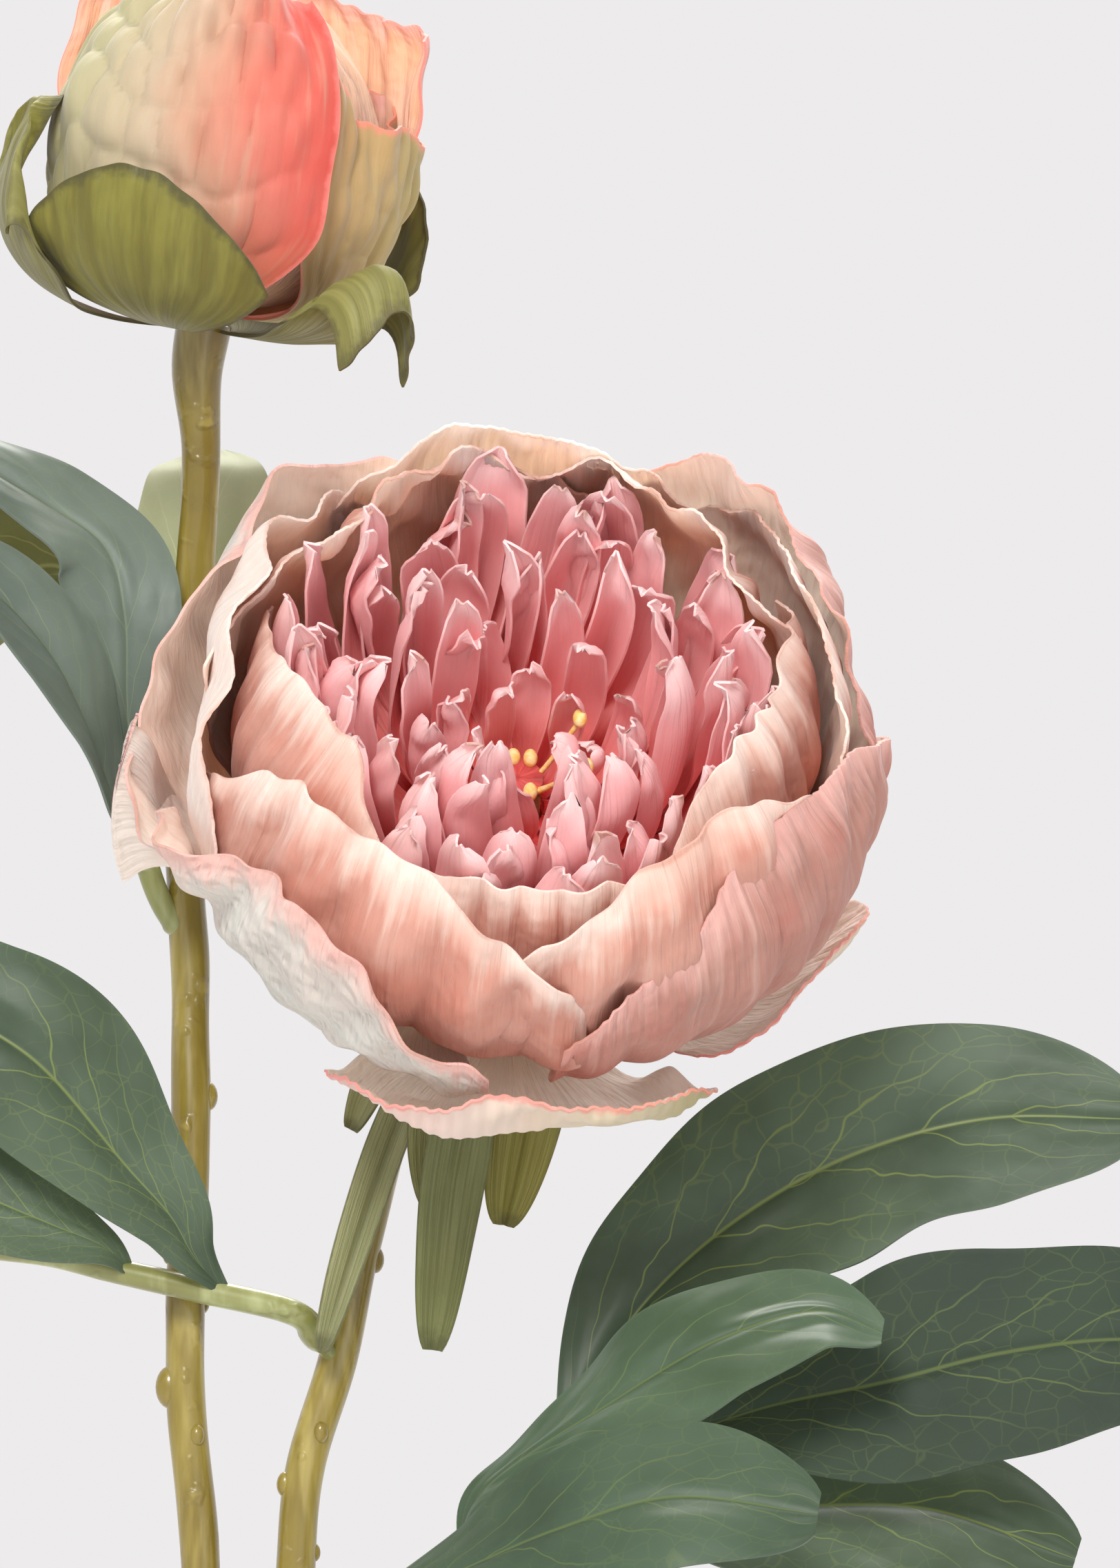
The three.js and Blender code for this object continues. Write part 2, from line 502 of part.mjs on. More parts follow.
add('bloom_receptacle', receptacle(), 'sepal');
add('stamens', stamens(), 'stamen');
WHORLS.forEach(({ count, width, seat, reach, top }, k) => {
  const foot = BLOOM.postRadius - BLOOM.neckStep + 0.45;
  const profile = [[foot, seat], [reach[0], seat - 2], [reach[1], top[0]], [reach[2], top[1]]];
  add(`petaloid_whorl_${k + 1}`, crown(profile, count, width), 'petaloid');
});
for (const { name, petals, ...ring } of BLOOM_RINGS) {
  petals.forEach(([turn, differs], k) => {
    add(`${name}_${k + 1}`, petal(inBloom, { ...ring, turn, ...differs }), 'petal');
  });
}
const spaceRadius = BLOOM.postRadius + SEAT_GAP;
const receptacleSpace = placed(
  new THREE.CylinderGeometry(spaceRadius, spaceRadius, 8, 20).rotateX(Math.PI / 2).translate(0, 0, 3), BLOOM);
for (const [name, spec] of Object.entries(SEPALS)) {
  const seat = inBloom(BLOOM.postRadius, spec.turn * DEG, 1.2);
  const buried = inBloom(BLOOM.postRadius - 1, spec.turn * DEG, 1.2);
  const rib = [buried, ...spec.rib.map((offset) => seat.clone().add(V(...offset)))].map(fromMouth);
  add(name, cut(blade({ fold: 12, across: 2, along: 6, ...spec, rib }), receptacleSpace), 'sepal');
}

add('bud_calyx', calyx(), 'sepal');
add('bud_heart', budHeart(), 'heart');
for (const [name, spec] of Object.entries(BUD_PETALS)) {
  add(name, petal(inBud, { profile: BUD_PETAL, ...spec }), 'bud');
}
for (const [name, spec] of Object.entries(BUD_SEPALS)) {
  add(name, petal(inBud, { profile: BUD_SEPAL, tile: 1.4, ...spec }), 'sepal');
}

export default peony;
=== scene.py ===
# An artificial peony spray in a ceramic bud vase: the looks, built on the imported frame.
# Shapes are worked out in millimetres in the frame's own axes and stored in metres.
import math
import zlib

import bpy
import numpy as np
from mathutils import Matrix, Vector


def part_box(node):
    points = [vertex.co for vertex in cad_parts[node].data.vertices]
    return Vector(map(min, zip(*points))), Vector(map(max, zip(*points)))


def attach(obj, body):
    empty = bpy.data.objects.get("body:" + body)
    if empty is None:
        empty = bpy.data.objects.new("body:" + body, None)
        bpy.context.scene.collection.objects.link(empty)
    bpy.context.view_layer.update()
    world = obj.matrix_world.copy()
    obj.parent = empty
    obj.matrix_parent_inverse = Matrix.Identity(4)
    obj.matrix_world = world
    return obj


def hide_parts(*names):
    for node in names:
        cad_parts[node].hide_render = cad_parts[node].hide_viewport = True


MM = 0.001
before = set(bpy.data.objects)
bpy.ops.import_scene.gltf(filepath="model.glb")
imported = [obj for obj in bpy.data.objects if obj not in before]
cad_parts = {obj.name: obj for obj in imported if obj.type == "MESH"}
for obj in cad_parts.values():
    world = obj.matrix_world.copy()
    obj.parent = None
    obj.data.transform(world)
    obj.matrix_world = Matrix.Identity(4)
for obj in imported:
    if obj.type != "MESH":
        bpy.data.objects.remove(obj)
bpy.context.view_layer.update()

# ---------- driving dimensions, in millimetres ----------
FABRIC = 0.45  # thickness of petals, sepals and leaves
PETALOID_FABRIC = 0.4
STEM_RADIUS = 3.15
FORK_HEIGHT = 118
VASE = {
    "foot": 33, "foot_height": 4, "belly": 42, "belly_height": 52, "waist": 25.75, "waist_height": 91,
    "neck": 15.5, "neck_start": 122, "neck_end": 174, "lip": 18, "lip_height": 188.5,
    "wall": 4.5, "floor": 7, "mouth": 11,
}
# Radius and height of each point.
VASE_FOOT = [(0, 0), (27, 0), (28.5, 0.3), (31.6, 0.5), (32.6, 1.6), (33, 3)]
VASE_LIP = [(17.6, 189.4), (16.6, 190), (13.5, 190), (12.0, 189.6), (11.2, 188.6)]
# The same for the collar round the fork, with heights from the fork.
COLLAR = [(0, -12), (STEM_RADIUS, -12), (4.6, -9), (6.4, -6), (7.6, -3), (7.6, -0.4), (7.2, 0), (0, 0)]
COLLAR_DEPTH = 0.6  # as a share of its width
# On a petal, turns and shares are made into millimetres with these, so that its waves keep their size.
BOWL_RADIUS = 45
PETAL_LENGTH = 85


# ---------- numbers ----------
def smooth(low, high, x):
    """0 below low, 1 above high, and a smooth rise between them."""
    share = np.clip((x - low) / (high - low), 0, 1)
    return share * share * (3 - 2 * share)


def unit(vectors):
    return vectors / np.linalg.norm(vectors, axis=-1, keepdims=True)


def rng_for(name):
    """Random numbers that are the same for a piece on every run."""
    return np.random.default_rng(zlib.crc32(name.encode()))


def ripple(rng, x, y, size_x, size_y, terms=7):
    """A smooth random surface over x and y, about -1 to 1, with waves no shorter than size_x and size_y."""
    total = 0
    for _ in range(terms):
        turn_x, turn_y = rng.uniform(-1, 1, 2)
        phase = rng.uniform(0, 2 * math.pi)
        total += np.sin(2 * math.pi * (turn_x * x / size_x + turn_y * y / size_y) + phase)
    return total / math.sqrt(terms)


def bezier(points, t):
    """Point and unit tangent of a cubic at each t, as (x, y) pairs."""
    a, b, c, d = (np.array(p, float) for p in points)
    t = np.asarray(t)[..., None]
    place = (1 - t) ** 3 * a + 3 * (1 - t) ** 2 * t * b + 3 * (1 - t) * t**2 * c + t**3 * d
    slope = 3 * (1 - t) ** 2 * (b - a) + 6 * (1 - t) * t * (c - b) + 3 * t**2 * (d - c)
    return place, unit(slope)


class Route:
    """A smooth curve through points, read by its share of the length."""

    def __init__(self, points, steps=40):
        points = [np.array(p, float) for p in points]
        points = [2 * points[0] - points[1], *points, 2 * points[-1] - points[-2]]
        dense = []
        for p0, p1, p2, p3 in zip(points, points[1:], points[2:], points[3:]):
            dense.extend(self.piece(p0, p1, p2, p3, steps))
        dense.append(points[-2])
        self.dense = np.array(dense)
        gaps = np.linalg.norm(np.diff(self.dense, axis=0), axis=1)
        self.reach = np.concatenate([[0], np.cumsum(gaps)])
        self.length = self.reach[-1]

    @staticmethod
    def piece(p0, p1, p2, p3, steps):
        """The centripetal Catmull-Rom stretch from p1 to p2."""
        k1 = np.linalg.norm(p1 - p0) ** 0.5
        k2 = k1 + np.linalg.norm(p2 - p1) ** 0.5
        k3 = k2 + np.linalg.norm(p3 - p2) ** 0.5
        for k in np.linspace(k1, k2, steps, endpoint=False):
            a1 = (k1 - k) / k1 * p0 + k / k1 * p1
            a2 = (k2 - k) / (k2 - k1) * p1 + (k - k1) / (k2 - k1) * p2
            a3 = (k3 - k) / (k3 - k2) * p2 + (k - k2) / (k3 - k2) * p3
            b1 = (k2 - k) / k2 * a1 + k / k2 * a2
            b2 = (k3 - k) / (k3 - k1) * a2 + (k - k1) / (k3 - k1) * a3
            yield (k2 - k) / (k2 - k1) * b1 + (k - k1) / (k2 - k1) * b2

    def at(self, t):
        where = np.clip(np.asarray(t, float), 0, 1) * self.length
        return np.stack([np.interp(where, self.reach, self.dense[:, i]) for i in range(3)], axis=-1)

    def tangent(self, t):
        t = np.asarray(t, float)
        return unit(self.at(t + 0.004) - self.at(t - 0.004))


# ---------- meshes ----------
def linked(name, data):
    """A new object in the scene."""
    made = bpy.data.objects.new(name, data)
    bpy.context.scene.collection.objects.link(made)
    return made


def mesh_object(name, vertices, faces, uvs, face_materials, materials):
    """A smooth-shaded object from vertices in millimetres and faces of four corners."""
    mesh = bpy.data.meshes.new(name)
    vertices = np.asarray(vertices, float) * MM
    faces = np.asarray(faces, np.int32)
    mesh.vertices.add(len(vertices))
    mesh.vertices.foreach_set("co", vertices.ravel())
    mesh.loops.add(faces.size)
    mesh.loops.foreach_set("vertex_index", faces.ravel())
    mesh.polygons.add(len(faces))
    mesh.polygons.foreach_set("loop_start", np.arange(0, faces.size, 4, dtype=np.int32))
    mesh.polygons.foreach_set("material_index", np.asarray(face_materials, np.int32))
    mesh.update(calc_edges=True)
    mesh.validate()
    layer = mesh.uv_layers.new(name="UVMap")
    layer.data.foreach_set("uv", np.asarray(uvs, float)[faces.ravel()].ravel())
    mesh.polygons.foreach_set("use_smooth", np.ones(len(faces), bool))
    mesh.set_sharp_from_angle(angle=math.radians(60))
    for material in materials:
        mesh.materials.append(material)
    return linked(name, mesh)


def sheet_arrays(grid, thickness=FABRIC):
    """Vertices, faces, uvs and sides of a closed sheet round a grid of points.

    Side 0 is the one that its normal leaves.
    """
    rows, cols = grid.shape[0], grid.shape[1]
    normal = unit(np.cross(np.gradient(grid, axis=1), np.gradient(grid, axis=0)))
    faces_apart = [(grid + side * thickness * normal).reshape(-1, 3) for side in (0.5, -0.5)]
    index = np.arange(rows * cols).reshape(rows, cols)
    under = index + rows * cols

    def quads(a, b, c, d):
        return np.stack([x.ravel() for x in (a, b, c, d)], axis=1)

    front = quads(index[:-1, :-1], index[:-1, 1:], index[1:, 1:], index[1:, :-1])
    back = quads(under[:-1, :-1], under[1:, :-1], under[1:, 1:], under[:-1, 1:])
    rim = [
        quads(under[:-1, 0], index[:-1, 0], index[1:, 0], under[1:, 0]),
        quads(index[:-1, -1], under[:-1, -1], under[1:, -1], index[1:, -1]),
        quads(under[0, :-1], under[0, 1:], index[0, 1:], index[0, :-1]),
        quads(index[-1, :-1], index[-1, 1:], under[-1, 1:], under[-1, :-1]),
    ]
    rim = np.concatenate(rim)
    across, along = np.meshgrid(np.linspace(0, 1, cols), np.linspace(0, 1, rows))
    uvs = np.tile(np.stack([across.ravel(), along.ravel()], axis=1), (2, 1))
    sides = np.concatenate([np.zeros(len(front)), np.ones(len(back)), np.zeros(len(rim))])
    return np.concatenate(faces_apart), np.concatenate([front, back, rim]), uvs, sides


def joined(parts):
    """Several sheets' arrays as one."""
    vertices, faces, uvs, sides, start = [], [], [], [], 0
    for part in parts:
        vertices.append(part[0])
        faces.append(part[1] + start)
        uvs.append(part[2])
        sides.append(part[3])
        start += len(part[0])
    return tuple(np.concatenate(x) for x in (vertices, faces, uvs, sides))


def wound_arrays(grid):
    """The surface through rings of points, each ring closed on itself."""
    rows, sides = grid.shape[:2]
    index = np.arange(rows * sides).reshape(rows, sides)
    following = np.roll(index, -1, axis=1)
    faces = np.stack([index[:-1], following[:-1], following[1:], index[1:]], axis=-1).reshape(-1, 4)
    turns, lengths = np.meshgrid(np.arange(sides) / sides, np.linspace(0, 1, rows))
    uvs = np.stack([turns.ravel(), lengths.ravel()], axis=1)
    return grid.reshape(-1, 3), faces, uvs, np.zeros(len(faces))


def tube_arrays(route, radius, rings, sides):
    """A round bar along a route, drawn in nearly to a point at each end.

    radius(t, turn) gives millimetres, with t and turn as arrays.
    """
    turns = np.linspace(0, 2 * math.pi, sides, endpoint=False)
    t, turn = np.meshgrid(np.linspace(0, 1, rings), turns, indexing="ij")
    centre, tangent = route.at(t[:, 0]), route.tangent(t[:, 0])
    first = unit(np.cross(tangent, (0, 1, 0)))
    second = np.cross(tangent, first)
    spoke = np.cos(turn)[..., None] * first[:, None] + np.sin(turn)[..., None] * second[:, None]
    ring = centre[:, None] + radius(t, turn)[..., None] * spoke
    start = ring[:1] * 0.02 + centre[0] * 0.98
    end = ring[-1:] * 0.02 + centre[-1] * 0.98
    return wound_arrays(np.concatenate([start, ring, end]))


def lathe_arrays(profile, sides=128):
    """A solid of revolution round Z from (radius, height) points that start and end on the axis."""
    turn = np.linspace(0, 2 * math.pi, sides, endpoint=False)
    out, height = np.array(profile, float).T[..., None]
    return wound_arrays(np.stack([out * np.cos(turn), out * np.sin(turn), height + 0 * turn], axis=-1))


def add(name, arrays, materials, node):
    """Makes a piece that stands for a CAD node and rides on the only body."""
    piece = mesh_object(name, *arrays, materials)
    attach(piece, "root")
    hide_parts(node)
    return piece


def add_sheet(node, grid, materials):
    """Makes the fabric of a petal, sepal or leaf. The first material is on side 0, and the second inside."""
    add(f"{node}_fabric", sheet_arrays(grid), materials, node)


# ---------- node materials ----------
class Shader:
    """A node material, built one node at a time."""

    def __init__(self, name, **constants):
        self.material = bpy.data.materials.new(name)
        self.material.use_nodes = True
        self.tree = self.material.node_tree
        self.surface = self.tree.nodes["Principled BSDF"]
        for key, value in constants.items():
            self.surface.inputs[key.replace("_", " ").title().replace("Ior", "IOR")].default_value = value

    def put(self, socket, value):
        if isinstance(value, bpy.types.NodeSocket):
            self.tree.links.new(value, socket)
        else:
            socket.default_value = value

    def node(self, kind, inputs, **settings):
        made = self.tree.nodes.new("ShaderNode" + kind)
        for key, value in settings.items():
            setattr(made, key, value)
        for key, value in inputs.items():
            self.put(made.inputs[key], value)
        return made

    def maths(self, operation, a, b=0.0):
        return self.node("Math", {0: a, 1: b}, operation=operation).outputs[0]

    def between(self, value, low, high, to_low=0.0, to_high=1.0):
        inputs = {"Value": value, "From Min": low, "From Max": high, "To Min": to_low, "To Max": to_high}
        return self.node("MapRange", inputs, interpolation_type="SMOOTHSTEP").outputs[0]

    def uv(self):
        """The UV vector, the share across from -1 to 1, and the share along."""
        uv = self.node("UVMap", {}, uv_map="UVMap").outputs[0]
        split = self.node("SeparateXYZ", {0: uv})
        across = self.maths("SUBTRACT", self.maths("MULTIPLY", split.outputs[0], 2.0), 1.0)
        return uv, across, split.outputs[1]

    def scaled(self, vector, scale):
        return self.node("VectorMath", {0: vector, 1: scale}, operation="MULTIPLY").outputs[0]

    def place(self):
        return self.node("TexCoord", {}).outputs["Object"]

    def noise(self, vector, scale, detail=3.0, roughness=0.55):
        inputs = {"Vector": vector, "Scale": scale, "Detail": detail, "Roughness": roughness}
        return self.node("TexNoise", inputs).outputs[0]

    def grain(self, scale, detail=3.0):
        return self.noise(self.place(), scale, detail)

    def stripes(self, uv, across, along, detail=3.0):
        """Noise stretched to so many waves across the sheet and so many along it."""
        return self.noise(self.scaled(uv, (across, along, 1.0)), 1.0, detail)

    def cells(self, vector, feature="DISTANCE_TO_EDGE"):
        return self.node("TexVoronoi", {"Vector": vector, "Scale": 1.0}, feature=feature).outputs["Distance"]

    def pillows(self, uv, across, along):
        """Rounded cells, so many across the sheet and so many along it."""
        return self.cells(self.scaled(uv, (across, along, 1.0)), "SMOOTH_F1")

    def shifted(self, value, noise, amount, middle=0.5):
        """The value moved by noise, whose middle leaves it where it is."""
        move = self.maths("MULTIPLY", self.maths("SUBTRACT", noise, middle), amount)
        return self.maths("ADD", value, move)

    def edge(self, across, along):
        """1 at the tip and the side edges, falling inwards."""
        return self.maths("MAXIMUM", along, self.maths("ABSOLUTE", across))

    def ramp(self, value, stops):
        made = self.node("ValToRGB", {0: value})
        elements = made.color_ramp.elements
        while len(elements) < len(stops):
            elements.new(0.5)
        for element, (position, colour) in zip(elements, stops):
            element.position = position
            element.color = (*colour, 1.0)
        return made.outputs[0]

    def mix(self, share, a, b):
        a, b = (x if isinstance(x, bpy.types.NodeSocket) else (*x, 1.0) for x in (a, b))
        return self.node("Mix", {0: share, 6: a, 7: b}, data_type="RGBA").outputs[2]

    def tint(self, colour, value, low, high, most, other):
        """The colour with up to most of the other mixed in, as the value goes from low to high."""
        return self.mix(self.between(value, low, high, 0.0, most), colour, other)

    def bump(self, height, strength, distance, before=None):
        inputs = {"Height": height, "Strength": strength, "Distance": distance}
        if before:
            inputs["Normal"] = before
        return self.node("Bump", inputs).outputs[0]

    def weave(self):
        """The fine weave that all the fabric has."""
        return self.bump(self.grain(1500.0, 2.0), 0.15, 0.0002)

    def finish(self, colour, roughness, normal=None):
        self.put(self.surface.inputs["Base Color"], colour)
        self.put(self.surface.inputs["Roughness"], roughness)
        if normal:
            self.put(self.surface.inputs["Normal"], normal)
        return self.material


def petal_fabric(name, base, body, blush, rim, emboss=0.25, low=0.42, through=0.3):
    """Dyed petal fabric: base colour at the claw up to low, blush in clouds, and a thin worn edge. Where the
    base is orange it is partly dye and partly painted warm shade between the overlapping petals.

    through is how much of the light scatters inside the fabric.
    """
    made = Shader(
        name, sheen_weight=0.1, sheen_roughness=0.5, specular_ior_level=0.25, subsurface_weight=through,
        subsurface_scale=0.004, subsurface_radius=(1.0, 0.7, 0.6),
    )
    uv, across, along = made.uv()
    streak = made.stripes(uv, 38.0, 1.8, 4.0)
    cloud = made.grain(55.0)
    fine = made.grain(420.0, 2.0)
    # From the claw up: an orange base colour is partly dye and partly painted warm shade where the petals
    # overlap.
    colour = made.ramp(made.shifted(along, streak, 0.22), [(0.05, base), (low, body), (0.9, body), (1.0, rim)])
    colour = made.tint(colour, cloud, 0.42, 0.72, 0.75, blush)
    colour = made.tint(colour, streak, 0.52, 0.78, 0.22, (0.9, 0.68, 0.58))
    colour = made.tint(colour, fine, 0.3, 0.7, 0.12, blush)
    edge = made.edge(made.maths("MULTIPLY", across, 0.995), along)
    near_edge = made.shifted(edge, cloud, 0.12)
    colour = made.tint(colour, near_edge, 0.93, 1.0, 0.35, rim)
    fray = made.shifted(edge, cloud, 0.05, 0.6)
    colour = made.tint(colour, fray, 0.992, 1.0, 0.55, (0.5, 0.22, 0.16))
    normal = made.bump(made.pillows(uv, 34.0, 30.0), emboss, 0.0009, made.weave())
    normal = made.bump(made.stripes(uv, 60.0, 3.5), 0.75, 0.001, normal)
    normal = made.bump(made.stripes(uv, 14.0, 9.0, 2.0), 0.45, 0.0016, normal)
    return made.finish(colour, made.between(streak, 0.2, 0.8, 0.62, 0.82), normal)


def petaloid_fabric():
    """Soft pink strips: deep red at the foot, pale and slightly browned at the curled tip."""
    made = Shader(
        "petaloid_pink", sheen_weight=0.05, sheen_roughness=0.5, specular_ior_level=0.25, subsurface_weight=0.3,
        subsurface_scale=0.003, subsurface_radius=(1.0, 0.6, 0.6),
    )
    uv, across, along = made.uv()
    streak = made.stripes(uv, 9.0, 1.5)
    cloud = made.grain(90.0, 2.0)
    stops = [
        (0.18, (0.7, 0.05, 0.05)), (0.38, (0.95, 0.22, 0.2)), (0.62, (0.98, 0.38, 0.38)),
        (0.86, (0.98, 0.48, 0.49)), (1.0, (0.98, 0.64, 0.64)),
    ]
    colour = made.ramp(made.shifted(along, cloud, 0.3), stops)
    colour = made.tint(colour, streak, 0.4, 0.8, 0.2, (0.97, 0.56, 0.55))
    colour = made.tint(colour, made.edge(across, along), 0.86, 1.0, 0.22, (0.97, 0.68, 0.64))
    fray = made.shifted(along, cloud, 0.16, 0.62)
    colour = made.tint(colour, fray, 0.985, 1.0, 0.7, (0.4, 0.2, 0.14))
    normal = made.bump(streak, 0.5, 0.0007, made.weave())
    return made.finish(colour, made.between(cloud, 0.3, 0.7, 0.6, 0.78), normal)


def leaf_fabric(name, body, light, vein, shine=0.42, veins=6.5, slant=2.3):
    """Printed leaf: a midrib, slanted side veins and a fine net, on a cloudy satin ground."""
    made = Shader(name, sheen_weight=0.03, sheen_roughness=0.4, specular_ior_level=0.35)
    uv, across, along = made.uv()
    side = made.maths("ABSOLUTE", across)
    cloud = made.grain(28.0)
    fine = made.grain(260.0)
    phase = made.maths("SUBTRACT", made.maths("MULTIPLY", along, veins), made.maths("MULTIPLY", side, slant))
    phase = made.shifted(phase, made.grain(75.0, 2.0), 1.1)
    gap = made.maths("ABSOLUTE", made.maths("SUBTRACT", made.maths("FRACT", phase), 0.5))
    side_vein = made.between(gap, 0.006, 0.034, 1.0, 0.0)
    side_vein = made.maths("MULTIPLY", side_vein, made.between(side, 0.3, 0.9, 1.0, 0.15))
    bent = made.node("TexNoise", {"Vector": made.place(), "Scale": 120.0, "Detail": 2.0}).outputs[1]
    bent = made.node("VectorMath", {0: made.scaled(uv, (9.0, 22.0, 1.0)), 1: bent}, operation="ADD").outputs[0]
    net = made.between(made.cells(bent), 0.004, 0.04, 0.4, 0.0)
    net = made.maths("MULTIPLY", net, made.between(cloud, 0.4, 0.6))
    midrib = made.between(side, 0.008, 0.034, 1.0, 0.0)
    line = made.maths("MAXIMUM", midrib, made.maths("MAXIMUM", side_vein, net))
    colour = made.mix(made.between(cloud, 0.35, 0.7), body, light)
    colour = made.tint(colour, fine, 0.35, 0.75, 0.18, light)
    colour = made.tint(colour, side, 0.93, 1.0, 0.4, light)
    colour = made.mix(made.maths("MULTIPLY", line, 0.62), colour, vein)
    normal = made.bump(line, -0.3, 0.0005, made.bump(fine, 0.12, 0.0004))
    normal = made.bump(made.between(gap, 0.0, 0.5), 0.07, 0.001, normal)
    return made.finish(colour, made.between(cloud, 0.3, 0.75, shine, shine + 0.14), normal)


def sepal_fabric(name, body, light, edge_colour, lines=26.0):
    """Olive sepal fabric with fine lengthwise veins and a darker edge."""
    made = Shader(name, sheen_weight=0.12, sheen_roughness=0.5, subsurface_weight=0.06, subsurface_scale=0.002)
    uv, across, along = made.uv()
    streak = made.stripes(uv, lines, 1.8)
    cloud = made.grain(70.0)
    fine = made.grain(500.0, 2.0)
    colour = made.mix(made.between(streak, 0.35, 0.7), body, light)
    colour = made.tint(colour, cloud, 0.45, 0.75, 0.5, body)
    edge = made.shifted(made.edge(across, along), fine, 0.1)
    colour = made.tint(colour, edge, 0.93, 1.0, 0.85, edge_colour)
    normal = made.bump(streak, 0.5, 0.0009, made.bump(fine, 0.2, 0.0003))
    return made.finish(colour, made.between(cloud, 0.3, 0.7, 0.5, 0.68), normal)


def moulded_plastic(name, body, light, dark, rough=0.24):
    """Glossy moulded plastic with lengthwise colour streaks and small glue blobs."""
    made = Shader(name, coat_weight=0.6, coat_roughness=0.1, subsurface_weight=0.08, subsurface_scale=0.002)
    place = made.place()
    streak = made.noise(made.scaled(place, (1.0, 1.0, 0.14)), 260.0)
    cloud = made.noise(place, 45.0)
    spot = made.noise(place, 190.0, 2.0)
    colour = made.mix(made.between(cloud, 0.32, 0.68), dark, body)
    colour = made.tint(colour, streak, 0.45, 0.75, 0.7, light)
    colour = made.tint(colour, spot, 0.66, 0.76, 0.5, light)
    normal = made.bump(streak, 0.25, 0.0005)
    normal = made.bump(made.between(spot, 0.58, 0.72), 0.5, 0.0007, normal)
    return made.finish(colour, made.between(cloud, 0.3, 0.7, rough, rough + 0.16), normal)


def bud_fabric(name, stops, blush, shell):
    """Crinkled bud fabric whose dye changes across the petal."""
    made = Shader(
        name, sheen_weight=0.2, sheen_roughness=0.5, subsurface_weight=0.2, subsurface_scale=0.003,
        subsurface_radius=(1.0, 0.45, 0.3),
    )
    uv, across, along = made.uv()
    cloud = made.grain(60.0)
    streak = made.stripes(uv, 30.0, 3.0)
    fine = made.grain(420.0, 2.0)
    share = made.maths("ADD", made.maths("MULTIPLY", across, 0.5), 0.5)
    colour = made.ramp(made.shifted(share, cloud, 0.22), stops)
    colour = made.tint(colour, streak, 0.5, 0.8, 0.35, blush)
    colour = made.mix(made.between(along, 0.0, 0.5, 0.5, 0.0), colour, (0.4, 0.36, 0.12))
    edge = made.shifted(made.edge(across, along), fine, 0.05)
    colour = made.tint(colour, edge, 0.965, 1.0, 0.7, (0.8, 0.2, 0.17))
    normal = made.bump(made.pillows(uv, 15.0, 11.0), shell, 0.0014, made.weave())
    normal = made.bump(streak, 0.4, 0.0007, normal)
    return made.finish(colour, made.between(cloud, 0.3, 0.7, 0.6, 0.78), normal)


def glazed_ceramic():
    """Off-white satin glaze, with faint rings from throwing and a few dark specks."""
    made = Shader("vase_ceramic", coat_weight=0.35, coat_roughness=0.18)
    place = made.place()
    cloud = made.noise(place, 14.0)
    ring = made.noise(made.scaled(place, (0.02, 0.02, 1.0)), 160.0, 2.0)
    speck = made.noise(place, 900.0, 1.0)
    colour = made.mix(made.between(cloud, 0.3, 0.7), (0.74, 0.71, 0.65), (0.8, 0.78, 0.73))
    colour = made.tint(colour, ring, 0.4, 0.7, 0.25, (0.7, 0.66, 0.58))
    colour = made.tint(colour, speck, 0.7, 0.76, 0.6, (0.42, 0.34, 0.25))
    return made.finish(colour, made.between(cloud, 0.3, 0.7, 0.3, 0.42), made.bump(ring, 0.12, 0.0008))


def bead_plastic():
    """Slightly grainy yellow plastic."""
    made = Shader("stamen_yellow", subsurface_weight=0.2, subsurface_scale=0.001)
    grain = made.grain(900.0, 2.0)
    colour = made.mix(made.between(grain, 0.35, 0.65), (0.95, 0.62, 0.16), (0.98, 0.8, 0.4))
    return made.finish(colour, made.between(grain, 0.3, 0.7, 0.45, 0.65), made.bump(grain, 0.4, 0.0003))


# ---------- where things are ----------
VASE_LOW, VASE_HIGH = (np.array(corner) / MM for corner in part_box("vase"))
ORIGIN = np.array([(VASE_LOW[0] + VASE_HIGH[0]) / 2, (VASE_LOW[1] + VASE_HIGH[1]) / 2, VASE_LOW[2]])


def route_from(points):
    """A route through points measured from the middle of the vase's foot."""
    return Route(ORIGIN + np.array(points, float))


class Head:
    """A flower head's own frame: out from its axis at a turn in degrees, and along its axis."""

    def __init__(self, base, axis):
        self.base = ORIGIN + base
        self.up = unit(np.array(axis, float))
        self.right = unit(np.array([1.0, 0, 0]) - self.up[0] * self.up)
        self.back = np.cross(self.up, self.right)

    def at(self, out, turn, height):
        out, turn, height = (np.asarray(x, float)[..., None] for x in np.broadcast_arrays(out, turn, height))
        angle = np.radians(turn)
        return self.base + self.up * height + self.right * out * np.cos(angle) + self.back * out * np.sin(angle)

    def below(self, distance):
        return tuple(self.base - ORIGIN - self.up * distance)

    def lathed(self, profile, sides):
        """A solid of revolution round the head's axis."""
        vertices, faces, uvs, materials = lathe_arrays(profile, sides)
        x, y, height = vertices.T
        return self.at(np.hypot(x, y), np.degrees(np.arctan2(y, x)), height), faces, uvs, materials


BLOOM = Head((41.5, 9, 322.4), (0.06, -0.77, 0.635))
BUD = Head((-7.2, 10, 421.3), (0.14, -0.06, 1))
POST_TOP = 36


# ---------- vase ----------
def vase():
    """The lathe-turned vase, with a rounded lip and a hollow neck."""
    v = VASE
    knots = [
        (v["foot"], 0, v["foot_height"]), (v["belly"], 0, v["belly_height"]),
        (v["waist"], 0, v["waist_height"]), (v["neck"], 0, v["neck_start"]),
        (v["neck"], 0, v["neck_end"]), (v["lip"], 0, v["lip_height"]),
    ]
    curve = Route(knots).at(np.linspace(0, 1, 90))[:, [0, 2]]
    inner = [(max(x - v["wall"], v["mouth"]), z) for x, z in curve[::-1] if v["floor"] + 4 < z < 186]
    profile = [*VASE_FOOT, *curve, *VASE_LIP, *inner, (v["foot"] - v["wall"], v["floor"]), (0, v["floor"])]
    vertices, faces, uvs, sides = lathe_arrays(profile)
    add("vase_glazed", (vertices + ORIGIN, faces, uvs, sides), [glazed_ceramic()], "vase")


